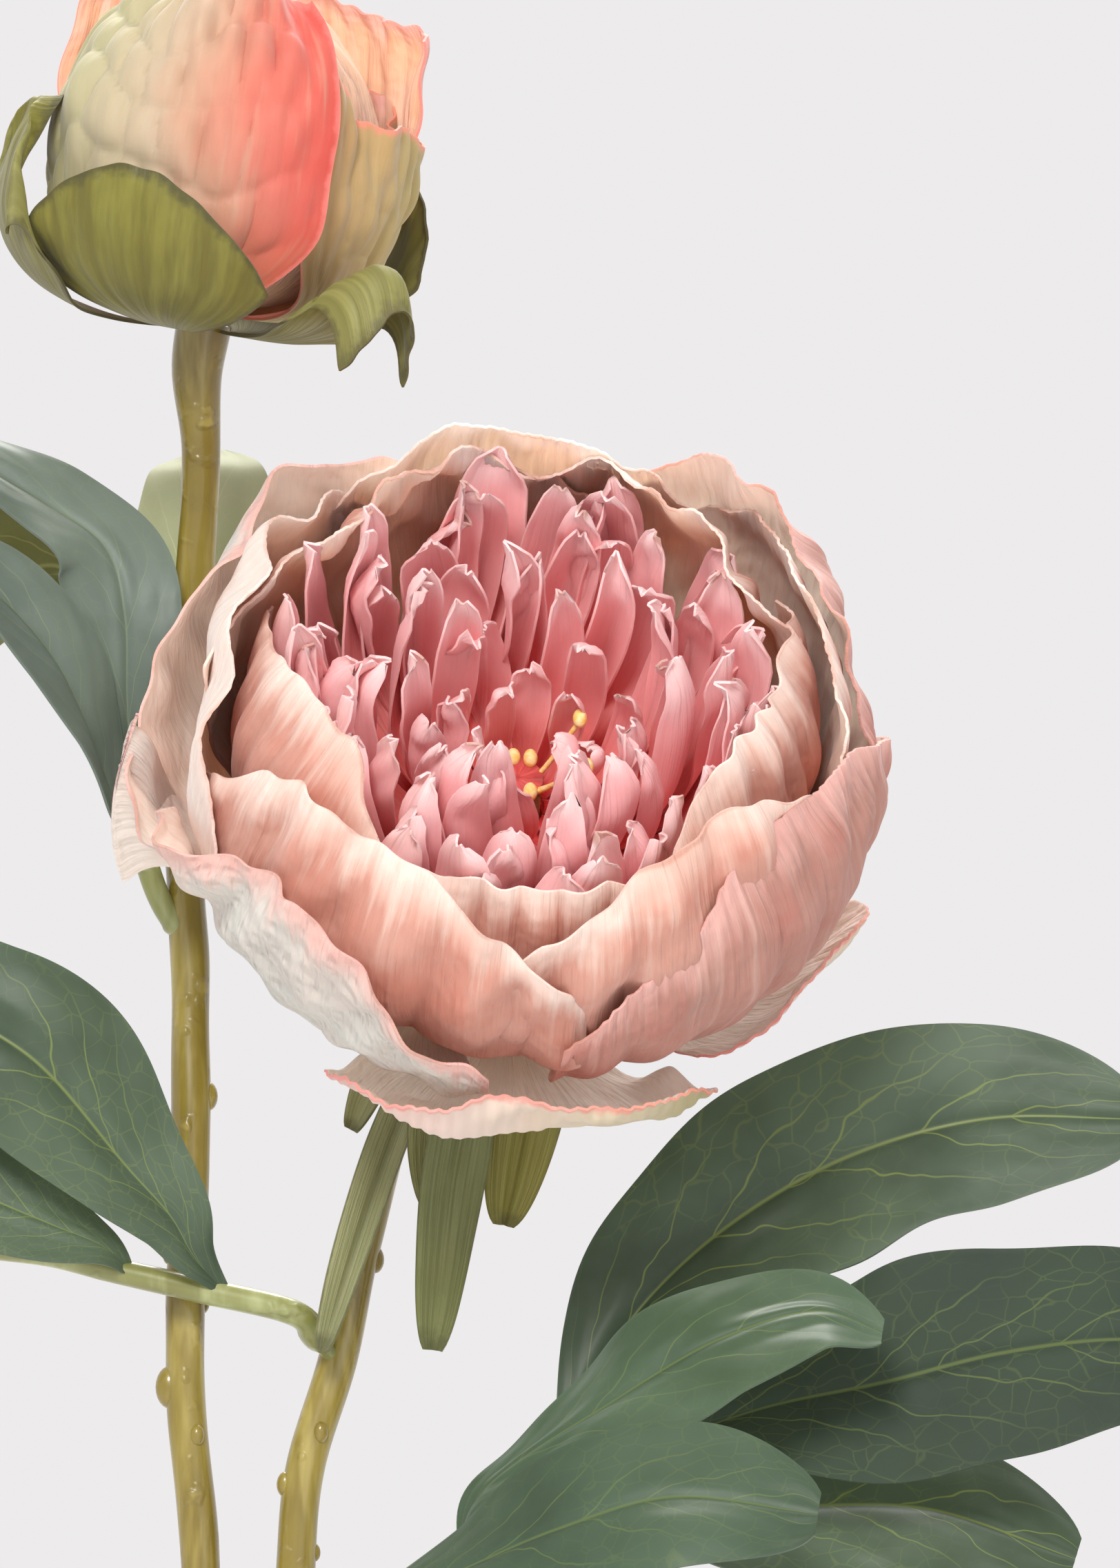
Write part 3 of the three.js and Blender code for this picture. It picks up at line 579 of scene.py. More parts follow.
# ---------- stems ----------
BUD_STEM = [
    (-3.4, 0, 118.45), (-4.6, 0, 150), (-6.5, 0.5, 190), (-7.3, 1.5, 220), (-9.7, 3, 246), (-10, 4.2, 260),
    (-9.2, 7.4, 288), (-9.5, 11.4, 317), (-10.8, 14.4, 343), (-9.2, 13.6, 373), (-7.6, 11.6, 400),
    BUD.below(8), BUD.below(0.3),
]
BLOOM_STEM = [
    (3.4, 0, 118.45), (5, 0, 150), (7.45, 0, 190), (8, 1, 220), (9.5, 2.6, 236), (14.6, 5, 253),
    (18.4, 9, 271), (22.6, 17, 288), (29.4, 24, 302), BLOOM.below(12), BLOOM.below(5), BLOOM.below(0.3),
]
# Share of the stem's length, turn and size of each leaf scar.
BUD_SCARS = [(0.43, 180, 2.3), (0.475, 20, 1.3), (0.585, 10, 1.6), (0.405, -60, 1.2), (0.5, 175, 1.0)]
BLOOM_SCARS = [(0.69, 20, 1.5), (0.52, 190, 1.4), (0.56, -70, 1.2), (0.47, 10, 1.0)]


def knob_arrays(centre, size, tall):
    """A small rounded knob, longer up than across."""
    profile = [(size * math.sin(a), -tall * math.cos(a)) for a in np.linspace(0, math.pi, 13)]
    vertices, faces, uvs, sides = lathe_arrays(profile, 20)
    return vertices + centre, faces, uvs, sides


def stem(name, points, flare_start, flare, scars, node, material):
    """A branch with leaf scars and an uneven moulded surface, which flares from flare_start to its top."""
    route = route_from(points)
    rng = rng_for(name)
    length = route.length

    def radius(t):
        return STEM_RADIUS + flare * smooth(flare_start, 1, t)

    def uneven(t, turn):
        return radius(t) + ripple(rng, t * length, np.cos(turn) * 4, 16, 9) * 0.12

    parts = [tube_arrays(route, uneven, int(length / 1.4), 28)]
    for share, turn, knob in scars:
        side = np.array([math.cos(math.radians(turn)), math.sin(math.radians(turn)), 0])
        centre = route.at(share) + side * (radius(np.array(share)) - 0.25 * knob)
        parts.append(knob_arrays(centre, knob, 1.5 * knob))
    add(name, joined(parts), [material], node)


def main_stem(material):
    """The shaft that stands in the vase, and the flattened collar at its fork."""
    points = [(1, 0, VASE["floor"] + 0.3), (2, 0, 40), (1, 0, 80), (0, 0, FORK_HEIGHT)]
    route = route_from(points)
    shaft = tube_arrays(route, lambda t, turn: STEM_RADIUS + 0 * t, 60, 28)
    vertices, faces, uvs, sides = lathe_arrays(COLLAR, 48)
    vertices = vertices * (1, COLLAR_DEPTH, 1) + (0, 0, FORK_HEIGHT) + ORIGIN
    add("stem_main", joined([shaft, (vertices, faces, uvs, sides)]), [material], "main_stem")


def stems():
    olive = moulded_plastic("stem_olive", (0.24, 0.178, 0.018), (0.42, 0.34, 0.09), (0.165, 0.115, 0.01))
    main_stem(olive)
    stem("stem_bud", BUD_STEM, 0.93, 1.4, BUD_SCARS, "bud_stem", olive)
    stem("stem_bloom", BLOOM_STEM, 0.95, 0.8, BLOOM_SCARS, "bloom_stem", olive)


# ---------- leaves ----------
# leaf: points along its petiole, and the petiole's radius
PETIOLES = {
    "upper": (
        [(-9.8, 11.8, 321), (-13.5, 11, 326), (-16, 10.6, 332), (-17.6, 13, 339), (-18.6, 16.5, 347)], 1.9,
    ),
    "lower": (
        [(14.2, 4, 253.4), (11.4, 0, 257), (8.9, -3.4, 260.7), (-7.3, -4.6, 265), (-22, -5, 268.4),
         (-31, -5, 270.6), (-44, -4, 272)], 2.1,
    ),
    "right": (
        [(8, 0.6, 211.5), (13, -3, 212.5), (22.6, -7, 216), (36, -4, 225), (48, 0, 233), (55, 1, 237)], 2.2,
    ),
}
# leaflet: the share of its petiole where it starts, midrib, half-width, the way that its upper side faces
# at its base and tip, fold in degrees, and the share of its length where it is widest
LEAFLETS = {
    "upper_leaf_front": (
        0.62,
        [(-18.6, 8.6, 347), (-19.4, 5.6, 360), (-19.8, 5, 374), (-22.8, 6.6, 384.5), (-32, 8, 391.5),
         (-52, 8, 403)],
        9.5, (0.1, -1, 0.1), (0.1, -0.5, 1), 12, 0.55,
    ),
    "upper_leaf_under": (
        1, [(-22.6, 22, 359), (-26, 26, 372), (-31, 27, 382), (-41, 25, 380), (-56, 18, 368)],
        15, (-0.2, 1, 0.5), (-0.4, 0.8, 0.8), 14, 0.66,
    ),
    "upper_leaf_side": (
        0.5, [(-21, 5, 343), (-25.5, -1, 356), (-31, -4, 367), (-41, -6, 378), (-57, -7, 389)],
        9.5, (0.5, -0.8, 0.5), (0.3, -0.5, 1), 22, 0.6,
    ),
    "upper_leaf_back": (
        0.72,
        [(-14, 20, 346), (-11, 31, 360), (-9, 38, 376), (-8.4, 42, 391), (-8.4, 47, 399.4), (-8.4, 57, 402)],
        12.6, (0, 1, -0.3), (0, 0.3, -1), 14, 0.6,
    ),
    "lower_leaf_top": (
        0.36,
        [(-8, -8.6, 270.6), (-11.6, -10, 277), (-18.6, -11, 285), (-32.7, -13, 301.6), (-44, -12, 309),
         (-60, -9, 318)],
        15, (0.25, -1, 0.3), (0.25, -1, 0.3), 14, 0.62,
    ),
    "lower_leaf_middle": (
        0.6, [(-22, -9, 272), (-31, -11, 276), (-44, -11, 281.5), (-62, -9, 290)],
        9, (-0.1, -0.9, 0.6), (-0.1, -0.9, 0.6), 12, 0.55,
    ),
    "lower_leaf_end": (
        1, [(-57, -4, 272), (-72, -3, 270), (-92, 0, 261)],
        13, (0, -0.8, 0.7), (0, -0.8, 0.7), 14, 0.5,
    ),
    "right_leaf_top": (
        0.9,
        [(54, 6, 245), (59, 9, 255), (67, 11, 265), (80, 12, 276), (98, 12, 286), (120, 11, 292),
         (144, 9, 292)],
        18.4, (-0.35, -1, 0.3), (-0.35, -1, 0.3), 17, 0.55,
    ),
    "right_leaf_middle": (
        1, [(66, 0, 240), (84, -1, 246), (103, -1, 250), (121, -2, 254.6), (141, -3, 257), (162, -4, 255)],
        18, (-0.1, -1, 0.35), (-0.1, -1, 0.35), 13, 0.55,
    ),
    "right_leaf_low": (
        0.8, [(55, 8, 230), (70, 10, 230), (88, 9, 229.4), (110, 7, 229), (134, 6, 221)],
        16, (-0.1, -0.75, 0.7), (-0.1, -0.75, 0.7), 10, 0.6,
    ),
    "right_leaf_arch": (
        0.55, [(38, -10, 233), (59, -17, 248), (77, -20, 258.5), (92, -20, 262.5), (101.9, -19, 259)],
        13, (-0.5, -0.55, 0.75), (0.4, -0.6, 0.7), 8, 0.6,
    ),
    "right_leaf_front": (
        0.3, [(22, -14, 216), (33, -25, 221), (50, -35, 229), (68, -40, 234.5), (91, -42, 232)],
        15.5, (-0.4, -0.75, 0.75), (0.3, -0.8, 0.6), 8, 0.6,
    ),
}


def blade_grid(route, half, face, face_tip, fold, widest, name, rows=90, cols=56, waves=0.8, droop=8):
    """A leaf's surface: folded along its midrib, with edges that turn down again and a gentle wave."""
    rng = rng_for(name)
    s, t = np.meshgrid(np.linspace(-1, 1, cols), np.linspace(0, 1, rows))
    centre, tangent = route.at(t), route.tangent(t)
    face, face_tip = unit(np.array(face, float)), unit(np.array(face_tip, float))
    up = face + (face_tip - face) * t[..., None]
    up = unit(up - tangent * (up * tangent).sum(axis=-1, keepdims=True))
    out = np.cross(tangent, up)
    rise = np.sin(0.5 * math.pi * np.minimum(t / widest, 1))
    fall = np.where(t > widest, np.sqrt(np.maximum(1 - ((t - widest) / (1.01 - widest)) ** 2, 0)), 1)
    width = 0.7 + (half - 0.7) * rise**1.25 * fall
    length = route.length
    edge = ripple(rng, t * length, np.sign(s) * 20, 26, 60) * 0.035
    reach = width * s * (1 + edge * np.abs(s))
    wave = ripple(rng, t * length, reach, 34, 26) * waves * smooth(0.05, 0.35, np.abs(s)) * smooth(0, 0.2, t)
    rim = ripple(rng, t * length, np.sign(s) * 30, 17, 60) * 0.5 * waves * smooth(0.6, 1, np.abs(s))
    angle = np.radians(fold - droop * np.abs(s))
    raised = np.abs(reach) * np.sin(angle) + wave + rim
    groove = -0.35 * np.exp(-((reach / 0.9) ** 2))
    return centre + out * (reach * np.cos(angle))[..., None] + up * (raised + groove)[..., None]


def leaves():
    top = leaf_fabric("leaf_top", (0.04, 0.064, 0.036), (0.075, 0.112, 0.068), (0.2, 0.25, 0.06))
    glossy = leaf_fabric("leaf_front", (0.048, 0.084, 0.044), (0.078, 0.128, 0.074), (0.14, 0.19, 0.06), 0.38)
    front = leaf_fabric("leaf_low", (0.036, 0.063, 0.034), (0.06, 0.1, 0.058), (0.12, 0.17, 0.05), 0.38)
    grey = leaf_fabric("leaf_grey", (0.09, 0.118, 0.094), (0.15, 0.19, 0.155), (0.18, 0.23, 0.13), 0.4)
    under = leaf_fabric("leaf_under", (0.3, 0.33, 0.17), (0.43, 0.45, 0.29), (0.48, 0.5, 0.3), 0.55)
    olive = leaf_fabric("leaf_olive", (0.15, 0.155, 0.045), (0.23, 0.23, 0.1), (0.32, 0.33, 0.12), 0.5)
    # A much darker copy of the leaf print, used on right_leaf_middle: painted shade.
    deep = leaf_fabric("leaf_painted_shade", (0.016, 0.03, 0.017), (0.032, 0.053, 0.031), (0.12, 0.16, 0.04), 0.6)
    tops = {
        "right_leaf_middle": deep, "upper_leaf_front": grey, "upper_leaf_side": grey, "right_leaf_arch": glossy,
        "right_leaf_front": front,
    }
    unders = {"upper_leaf_under": olive}
    for node, (start, rib, half, face, face_tip, fold, widest) in LEAFLETS.items():
        points, _ = PETIOLES[node.split("_")[0]]
        petiole = route_from(points)
        route = Route([petiole.at(start), *(ORIGIN + np.array(rib, float))])
        grid = blade_grid(route, half, face, face_tip, fold, widest, node)
        pair = [tops.get(node, top), unders.get(node, under)]
        add_sheet(node, grid, pair)


def petioles():
    """The leaves' green sleeves, narrow where they leave the stem, with a small collar after that."""
    sleeve = moulded_plastic("petiole_green", (0.25, 0.27, 0.085), (0.4, 0.43, 0.2), (0.17, 0.17, 0.04), 0.34)

    def shape(t):
        neck = 0.62 + 0.38 * smooth(0.05, 0.09, t)
        collar = 0.14 * np.exp(-(((t - 0.12) / 0.025) ** 2))
        return neck + collar - 0.12 * smooth(0.5, 1, t)

    for side, (points, radius) in PETIOLES.items():
        route = route_from(points)
        arrays = tube_arrays(route, lambda t, turn: radius * shape(t), 90, 24)
        add(f"petiole_{side}", arrays, [sleeve], f"{side}_leaf_petiole")


# ---------- petals ----------
def pressed_folds(rng, wide, long, v, folds, fold_size):
    """Soft lengthwise folds, deepest in the petal's upper middle."""
    bent = wide / fold_size + 0.25 * ripple(rng, wide, long, 30, 60)
    return folds * (np.abs(np.sin(math.pi * bent)) - 0.6) * smooth(0.25, 0.6, v) * (1 - 0.5 * smooth(0.8, 1, v))


def pressed_pillows(rng, wide, long):
    """Pillows in staggered rows, like scales, about 12 mm across and 13 mm long."""
    row = long / 13 + 0.3 * ripple(rng, wide, long, 26, 40)
    column = wide / 12 + 0.3 * ripple(rng, wide, long, 30, 40) + 0.5 * (np.floor(row) % 2)
    return np.sqrt(np.abs(np.sin(math.pi * row) * np.sin(math.pi * column))) - 0.6


def petal_grid(
    head, name, profile, turn, half, length=1.0, drop=0.3, tile=1.7, claw=0.42, rows=90, cols=110,
    wave=0.9, ruffle=0.9, pleat=0.14, folds=0.0, fold_size=9.0, flare=0.0, crimp=0.0, notch=0.018, roll=0.0,
    roll_reach=60, taper=0.0, tip=None, scales=0.0,
):
    """A petal on the bowl that its profile sweeps.

    half is its half-width in degrees, and drop how much lower its side edges are. tile lifts its right edge over
    the next petal, and tip replaces the profile's end. wave, ruffle, pleat, folds, crimp and scales, the pillows
    pressed into a bud's petals, are heights in millimetres. flare bends the rim out by that many millimetres,
    roll curls it over the outside in degrees over a quarter of roll_reach, and taper narrows it.
    """
    rng = rng_for(name)
    if tip:
        profile = [*profile[:3], tip]
    s, v = np.meshgrid(np.linspace(-1, 1, cols), np.linspace(0, 1, rows))
    wide = s * math.radians(half) * BOWL_RADIUS
    uneven = notch * ripple(rng, wide, 0, 22, 1) + 0.35 * notch * ripple(rng, wide, 0, 7, 1)
    t = v * length * (1 - drop * s * s) * (1 + uneven * smooth(0.5, 1, v))
    place, tangent = bezier(profile, t)
    long = t * PETAL_LENGTH
    side = np.abs(s)
    push = tile * s * smooth(0, 0.35, t)
    push += wave * ripple(rng, wide, long, 42, 36) * smooth(0.15, 0.6, t)
    push += ruffle * ripple(rng, wide, long, 17, 40) * smooth(0.62, 1.0, v)
    push += 0.45 * ruffle * ripple(rng, wide, long, 7.5, 12) * smooth(0.3, 0.9, v)
    side_ruffle = ripple(rng, long, side * 10, 15, 40) * smooth(0.7, 1.0, side)
    push += 0.6 * ruffle * side_ruffle * smooth(0.2, 0.5, v)
    push += pleat * ripple(rng, wide, long, 5.5, 60) * smooth(0.1, 0.5, v)
    push += pressed_folds(rng, wide, long, v, folds, fold_size)
    pillows = pressed_pillows(rng, wide, long)
    push += scales * pillows * smooth(0.2, 0.4, v) * (1 - smooth(0.72, 0.95, side))
    ribs = np.sin(2 * math.pi * (wide / 1.9 + 0.35 * ripple(rng, wide, long, 16, 30)))
    push += crimp * ribs * smooth(0.6, 0.95, v)
    spread = half * (claw + (1 - claw) * smooth(0, 0.4, t)) * (1 - taper * smooth(0.45, 1, v))
    out = place[..., 0] + push * tangent[..., 1] + flare * smooth(0.7, 1, v) ** 2
    height = place[..., 1] - push * tangent[..., 0] - 0.35 * abs(flare) * smooth(0.75, 1, v) ** 2
    if roll:
        bend = math.radians(roll) * smooth(0.75, 1, v)
        reach = (v - 0.75).clip(0) * roll_reach
        out = out + reach * np.sin(bend)
        height = height - reach * (1 - np.cos(bend)) - 0.4 * reach * smooth(0.75, 1, v)
    return head.at(out, turn + s * spread, height)


RINGS = {
    "inner_petal": {"profile": [(6.6, 16), (40, 14), (57, 44), (39.5, 71)], "half": 50, "drop": 0.16},
    "cup_petal": {"profile": [(6.6, 12), (44, 8), (63, 42), (46, 73)], "half": 48, "drop": 0.3},
    "outer_petal": {"profile": [(6.6, 8), (49, 1.7), (68.3, 40), (53, 71)], "half": 48, "drop": 0.36},
    "guard_petal": {"profile": [(6.6, 3.5), (48, -2), (63, 23), (60, 41)], "half": 34, "drop": 0.35},
}
# ring: each petal's turn, then what sets it apart from the others in its ring
PETALS = {
    "inner_petal": [
        (-90, {"length": 0.93, "folds": 2.0, "fold_size": 7}),
        (-20, {"length": 1.03, "folds": 1.4, "drop": 0.17}),
        (54, {"crimp": 0.1, "ruffle": 1.5}), (126, {"crimp": 0.1, "ruffle": 1.6}),
        (204, {"length": 1.04, "drop": 0.2, "folds": 1.1, "wave": 0.6}),
    ],
    "cup_petal": [
        (-52, {"folds": 2.6, "fold_size": 13, "ruffle": 1.3}), (18, {"crimp": 0.12, "folds": 1.0}),
        (90, {"crimp": 0.12, "tip": (42.5, 74), "ruffle": 1.5}), (162, {"ruffle": 1.6, "crimp": 0.1}),
        (-126, {"folds": 2.6, "fold_size": 15, "ruffle": 1.2}),
    ],
    "outer_petal": [
        (-34, {"crimp": 0.3, "tip": (50, 68), "ruffle": 1.4, "folds": 1.2, "wave": 0.6}),
        (40, {"ruffle": 1.8, "crimp": 0.14, "tip": (48, 73)}),
        (142, {"tip": (47, 71), "ruffle": 1.6, "flare": 3, "length": 0.97}),
        (-134, {"half": 40, "length": 0.9, "flare": 1.5, "ruffle": 2.0, "notch": 0.035, "wave": 0.5}),
    ],
    "guard_petal": [
        (-88, {"half": 36, "length": 0.86, "ruffle": 1.6, "notch": 0.035, "crimp": 0.25}),
        (-24, {"half": 26, "length": 0.74, "crimp": 0.15, "tip": (56, 42)}), (84, {}),
        (180, {
            "half": 5.5, "roll": 130, "roll_reach": 26, "taper": 0.3, "ruffle": 0.3, "wave": 0.4,
            "tip": (56, 65),
        }),
    ],
}


def petal_materials():
    """The dye of each kind of petal, by name. The orange at the claws is partly dye and partly painted warm
    shade between the overlapping petals.
    """
    claw_dye_and_shade, green = (0.88, 0.3, 0.13), (0.5, 0.43, 0.19)
    cream, pink = (0.92, 0.7, 0.6), (0.8, 0.42, 0.37)
    glow = {"low": 0.5, "through": 0.85}
    dyes = {
        "peach": petal_fabric("petal_peach", claw_dye_and_shade, (0.61, 0.3, 0.235), (0.59, 0.205, 0.14), cream, low=0.6),
        "shell": petal_fabric("petal_shell", claw_dye_and_shade, (0.97, 0.62, 0.49), (0.96, 0.52, 0.4), cream, **glow),
        "blush": petal_fabric("petal_blush", green, (0.47, 0.225, 0.18), (0.46, 0.15, 0.115), pink),
        "white": petal_fabric("petal_white", green, (0.64, 0.61, 0.545), (0.64, 0.55, 0.485), pink, emboss=1.3),
    }
    dyes["coral"] = petal_fabric(
        "petal_coral", (0.93, 0.3, 0.14), (0.98, 0.5, 0.35), (0.98, 0.6, 0.45), cream, **glow
    )
    dyes["cream"] = petal_fabric(
        "petal_cream", (0.92, 0.46, 0.3), (0.98, 0.75, 0.64), (0.97, 0.64, 0.54), cream, through=0.6
    )
    stops = [
        (0, (0.76, 0.42, 0.38)), (0.35, (0.78, 0.6, 0.52)), (0.72, (0.66, 0.56, 0.38)),
        (1, (0.34, 0.31, 0.12)),
    ]
    dyes["tipped"] = bud_fabric("petal_tipped", stops, (0.8, 0.62, 0.55), 0.3)
    return dyes


def petals():
    dyes = petal_materials()
    outside = {
        "inner_petal": ["peach"] * 5, "cup_petal": ["peach", "peach", "cream", "cream", "peach"],
        "outer_petal": ["blush", "blush", "white", "white"],
        "guard_petal": ["tipped", "tipped", "blush", "white"],
    }
    inside = {"inner_petal": "coral", "cup_petal": "shell", "outer_petal": "cream", "guard_petal": "cream"}
    for ring, specs in PETALS.items():
        for number, ((turn, extra), dye) in enumerate(zip(specs, outside[ring]), start=1):
            node = f"{ring}_{number}"
            grid = petal_grid(BLOOM, node, turn=turn, **{**RINGS[ring], **extra})
            add_sheet(node, grid, [dyes[dye], dyes[inside[ring]]])


# ---------- petaloids ----------
# Each ring's count, petal width, seat height on the post, then the distances and heights that its petals reach.
WHORLS = [
    (9, 7.2, 32, (9, 14, 10.5), (46, 58)), (15, 8.4, 29, (15, 22, 17.5), (46, 65)),
    (21, 9.6, 26, (22, 30, 25), (47, 70)), (28, 10.6, 23, (28, 38, 34), (47, 71)),
    (35, 11.4, 20, (33, 42, 38.5), (46, 70)),
]


def petaloid_grid(profile, turn, width, rng, rows=30, cols=9):
    """One narrow channelled petal with a hooded, nipped tip."""
    s, t = np.meshgrid(np.linspace(-1, 1, cols), np.linspace(0, 1, rows))
    place, tangent = bezier(profile, t)
    lean, twist, cup = rng.uniform(-18, 18), math.radians(rng.uniform(-50, 50)), rng.uniform(0.2, 0.8)
    hood, gape = rng.uniform(-0.8, 1.9), rng.uniform(-0.4, 0.6)
    rounded = np.sqrt(np.clip(1 - ((t - 0.64) / 0.365).clip(0) ** 2.6, 0.03, 1))
    wide = width / 2 * (0.4 + 0.75 * smooth(0.2, 0.68, t)) * rounded
    roll = cup * smooth(0.2, 0.7, t) * 1.5
    across = wide * np.sin(roll * s) / np.maximum(roll, 0.2) * (roll > 0.2) + wide * s * (roll <= 0.2)
    deep = -wide * (1 - np.cos(roll * s)) * 1.35
    tip = (t - 0.78).clip(0) / 0.22
    deep = deep - hood * 3.2 * tip**1.8 * (1 - 0.35 * s * s)
    deep += gape * 1.4 * np.exp(-((t - 0.55) / 0.2) ** 2)
    deep += 0.35 * ripple(rng, s * 3, t * 40, 5, 13) * smooth(0.4, 0.9, t)
    deep += 0.8 * ripple(rng, s * 3, t * 40, 3.5, 6) * smooth(0.66, 1, t)
    droop = abs(hood) * 1.6 * tip**2.2 + 0.5 * ripple(rng, s * 3, 0, 3, 1) * tip
    turned = twist * smooth(0.25, 1, t)
    flat = across * np.cos(turned) - deep * np.sin(turned)
    deep = across * np.sin(turned) + deep * np.cos(turned)
    out = place[..., 0] + deep * tangent[..., 1] - droop * tangent[..., 0]
    height = place[..., 1] - deep * tangent[..., 0] - droop * tangent[..., 1]
    angle = turn + lean * smooth(0.1, 1, t) + np.degrees(flat / np.maximum(place[..., 0], 5))
    return BLOOM.at(out, angle, height)


def petaloids():
    """Five rings of narrow petals, each uneven in turn, reach, height and width."""
    pink = petaloid_fabric()
    for k, (count, width, seat, (low, middle, high), (shoulder, top)) in enumerate(WHORLS, start=1):
        node = f"petaloid_whorl_{k}"
        rng = rng_for(node)
        parts = []
        for n in range(count):
            turn = 360 * (n + rng.uniform(-0.25, 0.25)) / count
            stagger, tall = rng.uniform(-3, 2), rng.uniform(-7, 2)
            profile = [
                (4.6, seat), (low, seat - 2), (middle + stagger, shoulder), (high + stagger * 1.3, top + tall),
            ]
            grid = petaloid_grid(profile, turn, width * rng.uniform(0.7, 1.1), rng)
            parts.append(sheet_arrays(grid, PETALOID_FABRIC))
        add(f"{node}_fabric", joined(parts), [pink, pink], node)


def receptacle():
    """The moulded post that the bloom's petals and sepals are held by."""
    olive = sepal_fabric("receptacle_olive", (0.2, 0.2, 0.05), (0.33, 0.33, 0.12), (0.13, 0.12, 0.03))
    profile = [
        (0, 0), (4.0, 0), (4.6, 0.3), (6, 2), (6, 18), (5.6, 18.6), (4, 19), (4, 35), (3.6, 35.7),
        (3, POST_TOP), (0, POST_TOP),
    ]
    add("bloom_receptacle_moulded", BLOOM.lathed(profile, 48), [olive], "bloom_receptacle")


# turn, distance from the axis and height of each bead
STAMENS = [
    (22, 10, 50), (-31, 12, 50), (-40, 10, 48.5), (100, 4, 39.5), (150, 4.5, 39), (205, 4, 40), (255, 4.2, 39),
    (300, 4, 40), (60, 4, 40),
]


def stamens():
    """Yellow beads on fine stalks, over a dark red seat."""
    yellow = bead_plastic()
    red = sepal_fabric("stamen_seat", (0.55, 0.06, 0.06), (0.7, 0.12, 0.11), (0.4, 0.03, 0.03))
    seat = [(0, 36.3), (3.4, 36.3), (4.2, 39), (4.0, 39.3), (0, 39.3)]
    vertices, faces, uvs, materials = BLOOM.lathed(seat, 32)
    parts = [(vertices, faces, uvs, materials + 1)]
    for turn, tip, height in STAMENS:
        stalk = [(2.2, POST_TOP + 2), (3.6, POST_TOP + 2.6), (tip, height - 0.8)]
        route = Route([BLOOM.at(out, turn, along) for out, along in stalk])
        parts.append(tube_arrays(route, lambda t, around: 0.42 + 0 * t, 14, 10))
        parts.append(knob_arrays(BLOOM.at(tip, turn, height), 1.15, 1.5))
    add("stamens_beads", joined(parts), [yellow, red], "stamens")


# ---------- sepals ----------
# sepal: turn, rib, half-width, the way that its face looks, and fold in degrees
SEPALS = {
    "bloom_sepal_round": (
        -170, [(32.4, 9.6, 314.5), (28, 13, 309), (21, 15, 300), (16.5, 15.5, 290)], 4.4, (-0.5, -0.8, 0.3), 12,
    ),
    "bloom_sepal_long": (
        -138, [(34, 6, 311), (29.5, 8, 304), (23, 8, 288), (16.5, 0, 268), (12.6, -8.6, 255.5)], 3.8,
        (-0.2, -1, 0.1), 35,
    ),
    "bloom_sepal_broad": (
        -116, [(37.4, 3.2, 310), (33.4, 3, 302), (30.6, 4.6, 291), (29.6, 5.6, 278)], 5, (0, -1, 0.1), 12,
    ),
    "bloom_sepal_dark": (
        -86, [(41, 0.6, 309), (37, -1.8, 300), (33.5, -1, 284), (31.6, 0, 268), (30, 1, 255)], 5.2,
        (0, -1, 0.1), 8,
    ),
    "bloom_sepal_olive": (
        -54, [(46.9, 2.4, 310), (46, 2, 300), (44, 3, 288), (41.5, 4, 275)], 6.4, (0, -1, 0.1), 12,
    ),
}


def bloom_sepals():
    """Five sepals below the bloom, each of its own dye: body, light and edge colour."""
    dyes = {
        "round": ((0.21, 0.22, 0.07), (0.3, 0.31, 0.13), (0.1, 0.1, 0.03)),
        "long": ((0.2, 0.215, 0.085), (0.33, 0.34, 0.17), (0.11, 0.115, 0.04)),
        "broad": ((0.17, 0.18, 0.05), (0.26, 0.27, 0.1), (0.1, 0.1, 0.03)),
        "dark": ((0.1, 0.115, 0.028), (0.17, 0.19, 0.065), (0.07, 0.08, 0.02)),
        "olive": ((0.17, 0.16, 0.018), (0.25, 0.24, 0.05), (0.12, 0.11, 0.02)),
    }
    for node, (turn, rib, half, face, fold) in SEPALS.items():
        route = Route([BLOOM.at(5, turn, 1.2), *(ORIGIN + np.array(rib, float))])
        grid = blade_grid(route, half, face, face, fold, 0.5, node, 60, 26, 0.45, 4)
        kind = node.split("_")[-1]
        dye = sepal_fabric(f"sepal_{kind}", *dyes[kind])
        add_sheet(node, grid, [dye, dye])


# ---------- bud ----------
BUD_PETAL = [(5.6, 1.6), (38, -1), (39, 50), (9, 58)]
BUD_SEPAL = [(4.95, -1.2), (44, -4), (41, 24), (32, 40)]


